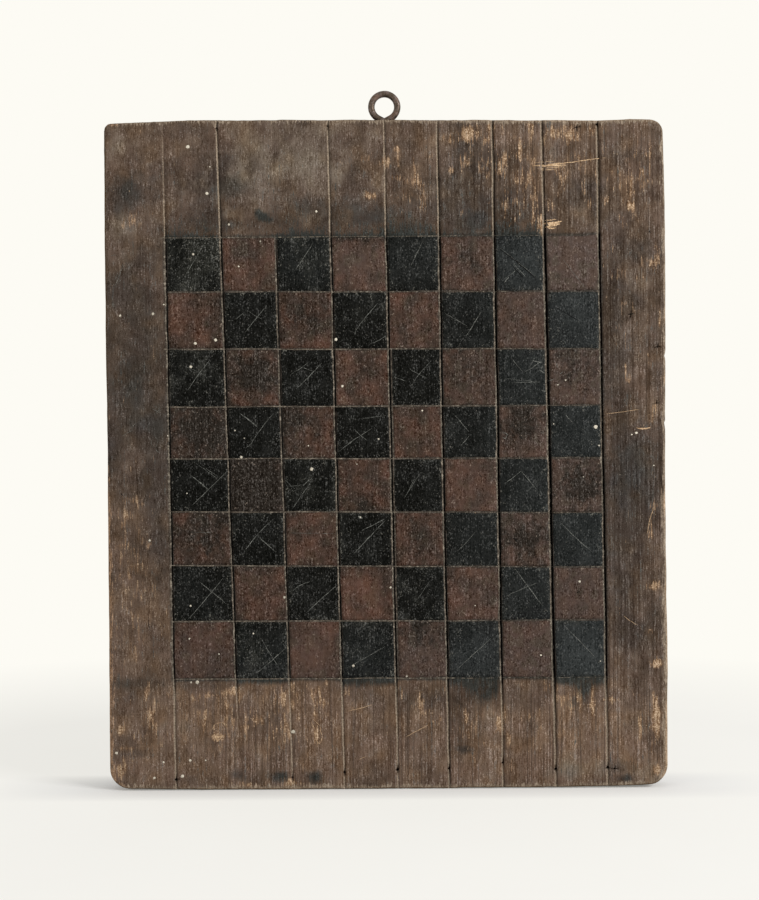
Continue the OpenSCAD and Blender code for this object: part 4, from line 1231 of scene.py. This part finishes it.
def aged_plank():
    """Old stained softwood: fine fibres and thin growth lines over a smooth ground whose colour
    wanders between warm brown, dusty olive and ashy grey; flakes and streaks rubbed through to pale
    bare wood; worn edges, the left one warmer, partly as painted warm light; black paint that bled
    past the squares; pale dust with a painted highlight and painted shade in the cuts; painted shade
    along the upper left arris and the foot."""
    wood = Finish("aged_plank")
    lines = wood.noise(0.85, 1.4, 60, 1, 1)
    hair = wood.noise(0.7, 0.7, 3.0, 1, 2)
    pepper = wood.noise(0.75, 0.75, 0.95, 1, 4)
    cloud = wood.noise(24, 24, 21, 3, 5)
    patch = wood.noise(4.5, 4.5, 6.5, 3, 6)
    blotch = wood.noise(10, 10, 13, 3, 7)
    cut, dust_and_glint, bare, grime, soot, haze, ash, front, open_grain, beyond = (
        wood.level(name)
        for name in ("cut", "dust_and_glint", "bare", "grime", "soot", "haze", "ash", "front", "open", "beyond")
    )

    band = wood.noise(2.6, 2.6, 80, 2, 14)
    groove = 0.43 - wood.noise(1.25, 1.5, 70, 1, 15) + blotch.swing(0.12)
    coarse = wood.noise(8, 8, 12, 2, 8).patchy() + 0.35
    fine = hair.swing(0.8) + pepper.swing(0.75) + lines.swing(open_grain * 0.65 + 0.15)
    broad = patch.swing(0.2) + blotch.swing(0.3) + band.swing(open_grain) * 0.4
    tone = fine.peaked() * coarse + broad + 0.5
    lift = (wood.level("lift") + cloud.swing(1.5) + blotch.swing(0.7)).between(0, 1)
    colour = wood.lay(wood.ramp(tone, WOOD_DARK), tone, WOOD_LIGHT, lift)
    dusty = (haze + cloud.swing(1.8) + blotch.swing(1.4) - 0.3).between(0, 0.8)
    colour = wood.lay(colour, tone, WOOD_DUSTY, dusty * front)
    ashy = (ash + blotch.swing(1.4) + patch.swing(0.6) - 0.25).between(0, 0.7)
    colour = wood.lay(colour, tone, WOOD_ASH, ashy * 0.9)
    hue = wood.noise(12, 12, 16, 1, 13) + bare * 0.11
    colour = wood.mix(colour, wood.ramp(hue, WOOD_HUES), 1.0, "MULTIPLY")
    colour = wood.mix(colour, paint(60, 50, 43), groove.between(0.0, 0.07) * open_grain * 0.5)
    dirt = (grime * 1.2 + blotch + patch.swing(0.6) - 0.75).between(0, 0.8)
    colour = wood.lay(colour, tone, WOOD_DIRTY, dirt * 0.8)

    streaks = wood.noise(0.95, 0.95, 11, 2, 9, 0.6)
    flakes = wood.noise(1.5, 1.5, 2.4, 3, 10, 0.65)
    tan = (bare + streaks.swing(2) + patch.swing(1.6) - 0.55).between(0, 0.5)
    colour = wood.lay(colour, tone + streaks.swing(0.4), WOOD_TAN, tan * front * 0.8)
    chip = streaks * 0.62 + flakes * 0.38 + pepper.swing(0.2)
    rub = chip + bare * 0.25 + patch.swing(0.4) - haze * 0.02 - 0.71
    chipped = rub.between(0.0, 0.05)
    fresh_share = (open_grain * 0.75 + bare * 0.8).between(0.1, 0.9)
    fresh = wood.lay(paint(145, 128, 108), rub * 1.4 + pepper.swing(1.1) + 0.42, WOOD_BARE, fresh_share)
    colour = wood.mix(colour, fresh, chipped * (front * 0.75 + 0.15))

    rim = wood.level("rub")
    worn = (rim * 0.4 + streaks.swing(3) + flakes.swing(1.6) - 0.05).between(0.0, 0.6)
    edge_tone = streaks.swing(0.8) + flakes.swing(0.4) + pepper.swing(0.6) + 0.52
    # The worn left edge takes a warmer tan than the top and right: worn wood, partly painted warm light
    # reflected from the left.
    left_edge_warm_light = (wood.along("X") * -1).between(0.165, 0.172)
    edge = wood.lay(wood.ramp(edge_tone, EDGE_WORN), edge_tone, WOOD_TAN, left_edge_warm_light)
    edge = wood.lay(edge, edge_tone + 0.1, WOOD_BARE, rim.between(1.7, 4.0))
    colour = wood.mix(colour, edge, worn * 0.85)
    # Painted shade along the upper left arris and the foot's arris.
    shade = (wood.level("shadow") + patch.swing(1.5)).between(-0.3, 0.4)
    colour = wood.mix(colour, paint(80, 63, 42), shade * 0.9)

    scratched = wood.level("bleed") * 1.5 + hair.swing(2.4) + lines.swing(2) + patch.swing(1.6) - 0.45
    smear = soot * 1.35 + hair.swing(0.8) + lines.swing(1.2) + patch.swing(1.1) - 0.4
    blackened = smear.between(0.0, 0.95).most(scratched.between(0.0, 0.75))
    colour = wood.lay(colour, tone, SOOT, blackened * 0.92)

    # Painted shade in the cuts and pricks, then their pale dust with a painted highlight on the wall that
    # faces the lamp.
    dashes = wood.noise(1.8, 1.8, 2.6, 3, 12)
    colour = wood.mix(colour, paint(10, 8, 7), (cut - 0.25).between(0.0, 0.45))
    pale = (dust_and_glint * (dashes.swing(3.4 - beyond * 1.6) + 1.1) - 0.3).between(0.0, 0.4)
    in_cuts = wood.lay(wood.ramp(dashes * 1.2 + pepper.swing(0.8), FIELD_DUST_AND_GLINT), pepper, BARE_DUST_AND_GLINT, beyond)
    colour = wood.mix(colour, in_cuts, pale * 0.85)

    height = hair * 0.3 + lines * 0.5 * open_grain + pepper * 0.5 - chipped * 0.25
    return wood.close(colour, 0.72 + cloud.swing(0.3), height, 0.25, specular=0.03)


def black_paint():
    """Old black paint: near black with fine fibres, greyer and bluer where it faded and, as a painted
    sheen, towards the right, rubbed dusty towards some squares' edges, with sparse pale flecks."""
    black = Finish("old_black_paint")
    hair = black.noise(0.7, 0.7, 2.0, 1, 21)
    lines = black.noise(0.9, 1.4, 40, 1, 22)
    pepper = black.noise(0.75, 0.75, 0.9, 1, 23)
    cloud = black.noise(13, 13, 15, 3, 24)
    patch = black.noise(3.5, 3.5, 4.5, 3, 26)
    flake = black.noise(0.9, 0.9, 1.2, 2, 25, 0.6)
    fade_and_sheen, worn, rim = black.level("fade_and_sheen"), black.level("worn"), black.level("rim")
    coarse = black.noise(6, 6, 7, 2, 27).patchy() + 0.4
    fine = hair.swing(0.7) + lines.swing(0.4) + pepper.swing(0.95)
    tone = fine.peaked() * coarse + patch.swing(0.2) + cloud.swing(0.3) + 0.5
    # Greyer and bluer where faded and towards the right, a painted sheen.
    faded_and_sheen = (fade_and_sheen + cloud.swing(0.35)).between(0, 1.3)
    colour = black.lay(black.ramp(tone, BLACK_DEEP), tone, BLACK_FADED_AND_SHEEN, faded_and_sheen)
    rubbed = (worn + rim * 0.5 + cloud.swing(1.3) + patch.swing(0.9) - 0.35).between(0.0, 0.6)
    colour = black.lay(colour, tone, BLACK_RUBBED, rubbed * 0.8)
    flecks = flake + pepper.swing(0.3) + patch.swing(0.4) + rim * 0.12 + worn * 0.06
    colour = black.mix(colour, paint(112, 110, 102), flecks.between(0.735, 0.79) * 0.75)
    height = hair * 0.3 + lines * 0.4 + pepper * 0.6
    return black.close(colour, 0.62 + cloud.swing(0.3), height, 0.18, specular=0.015)


def red_paint():
    """Old red paint gone brown: oxide red in ruddy and in browner places, smudged black in places
    and at the squares' edges, greyer where it faded and, as a painted sheen, towards the right, with
    fine fibres and worn pale grains."""
    red = Finish("old_red_paint")
    hair = red.noise(0.7, 0.7, 2.2, 1, 31)
    lines = red.noise(0.9, 1.4, 40, 1, 32)
    pepper = red.noise(0.75, 0.75, 0.95, 1, 33)
    cloud = red.noise(11, 11, 13, 1, 34)
    mottle = red.noise(2.6, 2.6, 3.2, 3, 35, 0.6)
    flake = red.noise(1.1, 1.1, 1.5, 2, 36, 0.6)
    fade_and_sheen, smoke, rim = red.level("fade_and_sheen"), red.level("smoke"), red.level("rim")
    coarse = red.noise(7, 7, 8, 2, 37).patchy() * 0.9 + smoke * 0.4 + 0.3
    fine = hair.swing(0.7) + lines.swing(0.4) + pepper.swing(0.9)
    tone = fine.peaked() * coarse + mottle.swing(0.3) + 0.5
    ruddy = (cloud.swing(2.1) + mottle.swing(0.4) - fade_and_sheen * 0.3 - smoke * 0.6 + 0.38).between(0, 1)
    colour = red.lay(red.ramp(tone, RED_BROWN), tone, RED_WARM, ruddy)
    # Greyer where faded and towards the right, a painted sheen.
    colour = red.lay(colour, tone, RED_FADED_AND_SHEEN, fade_and_sheen.between(0, 1.1))
    hue = red.noise(6, 6, 8, 1, 39)
    colour = red.mix(colour, red.ramp(hue, RED_HUES), 1.0, "MULTIPLY")
    smudge = red.noise(7, 7, 8, 3, 38, 0.6)
    dark = (smoke * 1.5 + rim * 0.5 + smudge.swing(3) + mottle.swing(1.3) - 0.5).between(0.0, 0.8)
    colour = red.lay(colour, tone, RED_SMOKED, dark * 0.88)
    flecks = (flake + pepper.swing(0.3) + mottle.swing(0.4) + rim * 0.06).between(0.7, 0.76)
    colour = red.mix(colour, paint(136, 122, 110), flecks * 0.75)
    height = hair * 0.3 + lines * 0.4 + pepper * 0.6
    return red.close(colour, 0.68 + cloud.swing(0.3), height, 0.2, specular=0.015)


def stroke_finish():
    """The bottoms of knife strokes: dark, dusty grey or fresh tan, broken up by fine grains."""
    stroke = Finish("knife_stroke")
    pepper = stroke.noise(0.9, 0.9, 0.9, 2, 41)
    kind = stroke.level("kind")
    lit = [(0, paint(17, 17, 17)), (0.5, paint(131, 132, 126)), (1, paint(222, 192, 156))]
    dim = [(0, paint(24, 24, 24)), (0.5, paint(78, 79, 75)), (1, paint(172, 142, 110))]
    colour = stroke.lay(stroke.ramp(kind, lit), kind, dim, pepper.between(0.38, 0.56))
    return stroke.close(colour, 0.8, pepper, 0.05, specular=0.05)


def speck_finish():
    """Spattered pale paint, yellowed and dusty."""
    speck = Finish("pale_speck")
    pepper = speck.noise(0.6, 0.6, 0.6, 2, 51)
    shade = speck.noise(30, 30, 30, 1, 52)
    stops = [(0.3, paint(138, 130, 116)), (0.7, paint(216, 208, 190))]
    colour = speck.ramp(pepper * 0.6 + shade * 0.7, stops)
    return speck.close(colour, 0.7, pepper, 0.05)


def eye_finish():
    """Hand-forged iron gone brown: dark scale, greyer patches at random, and warm rust."""
    iron = Finish("dark_iron")
    scale = iron.noise(1.6, 1.6, 1.6, 3, 61, 0.6)
    pits = iron.noise(0.5, 0.5, 0.5, 2, 62)
    cloud = iron.noise(5, 5, 5, 2, 63)
    colour = iron.ramp(scale * 0.7 + cloud * 0.5, [
        (0.35, paint(40, 34, 28)), (0.55, paint(78, 66, 54)),
        (0.68, paint(98, 88, 86)), (0.85, paint(128, 118, 112)),
    ])
    rust = (cloud + pits.swing(0.6)).between(0.52, 0.68)
    colour = iron.mix(colour, paint(104, 74, 52), rust * 0.6)
    height = scale * 0.6 + pits * 0.5
    roughness = 0.42 + rust * 0.25 + pits.swing(0.3)
    return iron.close(colour, roughness, height, 0.12, metallic=0.75 - rust * 0.45)


face = lay_out_face()
build_plank(face, aged_plank())
build_paint(face, "black_squares_paint", 0, 300, black_paint(), "black_squares")
build_paint(face, "red_squares_paint", 1, 400, red_paint(), "red_squares")
build_strokes(face, stroke_finish())
build_specks(face, speck_finish())
build_eye(eye_finish())

# Camera: square to the face, turned so the board leans in the picture as in the photograph.
CAMERA_X = -4.47
CAMERA_Z = 216.0
CAMERA_AWAY = 1000.0
CAMERA_ROLL = math.radians(-0.36)
LENS = 62.875
camera = bpy.data.cameras.new("camera")
camera.lens = LENS
camera.sensor_width = 36.0
camera.clip_start = 0.01
camera.clip_end = 100.0
eye_point = bpy.data.objects.new("camera", camera)
eye_point.location = (CAMERA_X * MM, (FACE_Y - CAMERA_AWAY) * MM, CAMERA_Z * MM)
eye_point.rotation_euler = (math.pi / 2, 0, 0)
eye_point.rotation_euler.rotate_axis("Z", CAMERA_ROLL)
bpy.context.scene.collection.objects.link(eye_point)
bpy.context.scene.camera = eye_point

# Light: an even pale surround, a soft lamp from the upper right and a weak warm one from the left.
# The camera and reflections see the plain backdrop instead of the surround.
AROUND = 0.46
KEY_POWER = 23.0
FILL_POWER = 4.0


def soft_lamp(name, place, size, power, colour):
    """A square lamp at a place, turned to the middle of the board."""
    lamp = bpy.data.lights.new(name, "AREA")
    lamp.shape = "SQUARE"
    lamp.size = size
    lamp.energy = power
    lamp.color = colour
    holder = bpy.data.objects.new(name, lamp)
    holder.location = place
    aim = holder.location.copy()
    aim.z -= BOARD_TOP / 2 * MM
    holder.rotation_euler = aim.to_track_quat("Z", "Y").to_euler()
    bpy.context.scene.collection.objects.link(holder)


soft_lamp("key_lamp", (1.35, -1.05, 1.0), 0.7, KEY_POWER, (1.0, 0.99, 0.97))
soft_lamp("fill_lamp", (-1.4, -1.1, 0.5), 1.0, FILL_POWER, (1.0, 0.93, 0.82))

BACKDROP = paint(253, 251, 244)
world = bpy.data.worlds.new("studio")
world.use_nodes = True
bpy.context.scene.world = world
sky = world.node_tree
sky.nodes.clear()
ray = add_node(sky, "ShaderNodeLightPath")
seen = add_node(sky, "ShaderNodeMath", {"operation": "MAXIMUM"}, {
    0: ray.outputs["Is Camera Ray"], 1: ray.outputs["Is Glossy Ray"],
})
lit = add_node(sky, "ShaderNodeBackground", None, {0: (1, 1, 1, 1), 1: AROUND})
shown = add_node(sky, "ShaderNodeBackground", None, {0: BACKDROP, 1: 1.0})
choose = add_node(sky, "ShaderNodeMixShader", None, {
    0: seen.outputs[0], 1: lit.outputs[0], 2: shown.outputs[0],
})
add_node(sky, "ShaderNodeOutputWorld", None, {0: choose.outputs[0]})

# The floor's rings, in metres.
FLOOR_RINGS = np.array([0.4, 0.8, 1.6, 3.0, 8.0])
FLOOR_SIDES = 64


def pale_floor():
    """A pale floor that takes the board's shadow near it and turns into the plain backdrop further
    away, by its distance from the board; close round the board it is also painted greyer, a painted shade."""
    floor = Finish("pale_floor")
    far = floor.node("ShaderNodeVectorMath", {"operation": "LENGTH"}, {0: floor.place})
    blend = Level(floor, far.outputs["Value"]).between(0.35, 1.6)
    # Near the board: up to 10 to 40 mm in front and behind, and 173 to 257 mm to the sides, squared.
    # There the camera sees more lit floor and less glow, which shows the real shadow and also paints a grey
    # shade.
    across, away = floor.along("X"), floor.along("Y")
    near = (1 - (away * away).between(0.0001, 0.0016)) * (1 - (across * across).between(0.03, 0.066))
    grain = floor.noise(60, 60, 60, 2, 71)
    colour = floor.ramp(grain, [(0.3, paint(247, 247, 247)), (0.7, paint(250, 250, 250))])
    matt = floor.node("ShaderNodeBsdfDiffuse", None, {"Color": colour})
    glow = floor.node("ShaderNodeEmission", None, {"Color": BACKDROP, "Strength": 1.0})
    seen = Level(floor, floor.node("ShaderNodeLightPath").outputs["Is Camera Ray"])
    share = (blend + seen * (0.72 - near * 0.5)).between(0, 1)
    mixed = floor.node("ShaderNodeMixShader", None, {0: share, 1: matt.outputs[0], 2: glow.outputs[0]})
    floor.node("ShaderNodeOutputMaterial", None, {"Surface": mixed.outputs[0]})
    return floor.material


def build_floor(finish):
    """A round floor in rings, at the height of the board's foot."""
    rings = FLOOR_RINGS[:, None] / MM
    turn = np.linspace(0, 2 * np.pi, FLOOR_SIDES, endpoint=False)
    x, y = rings * np.cos(turn), rings * np.sin(turn)
    points = np.stack([x, y, 0 * x], axis=-1).reshape(-1, 3)
    make_mesh("floor", points, tube_quads(len(FLOOR_RINGS), FLOOR_SIDES)[:2], finish)


build_floor(pale_floor())
bpy.context.scene.view_settings.view_transform = "Standard"
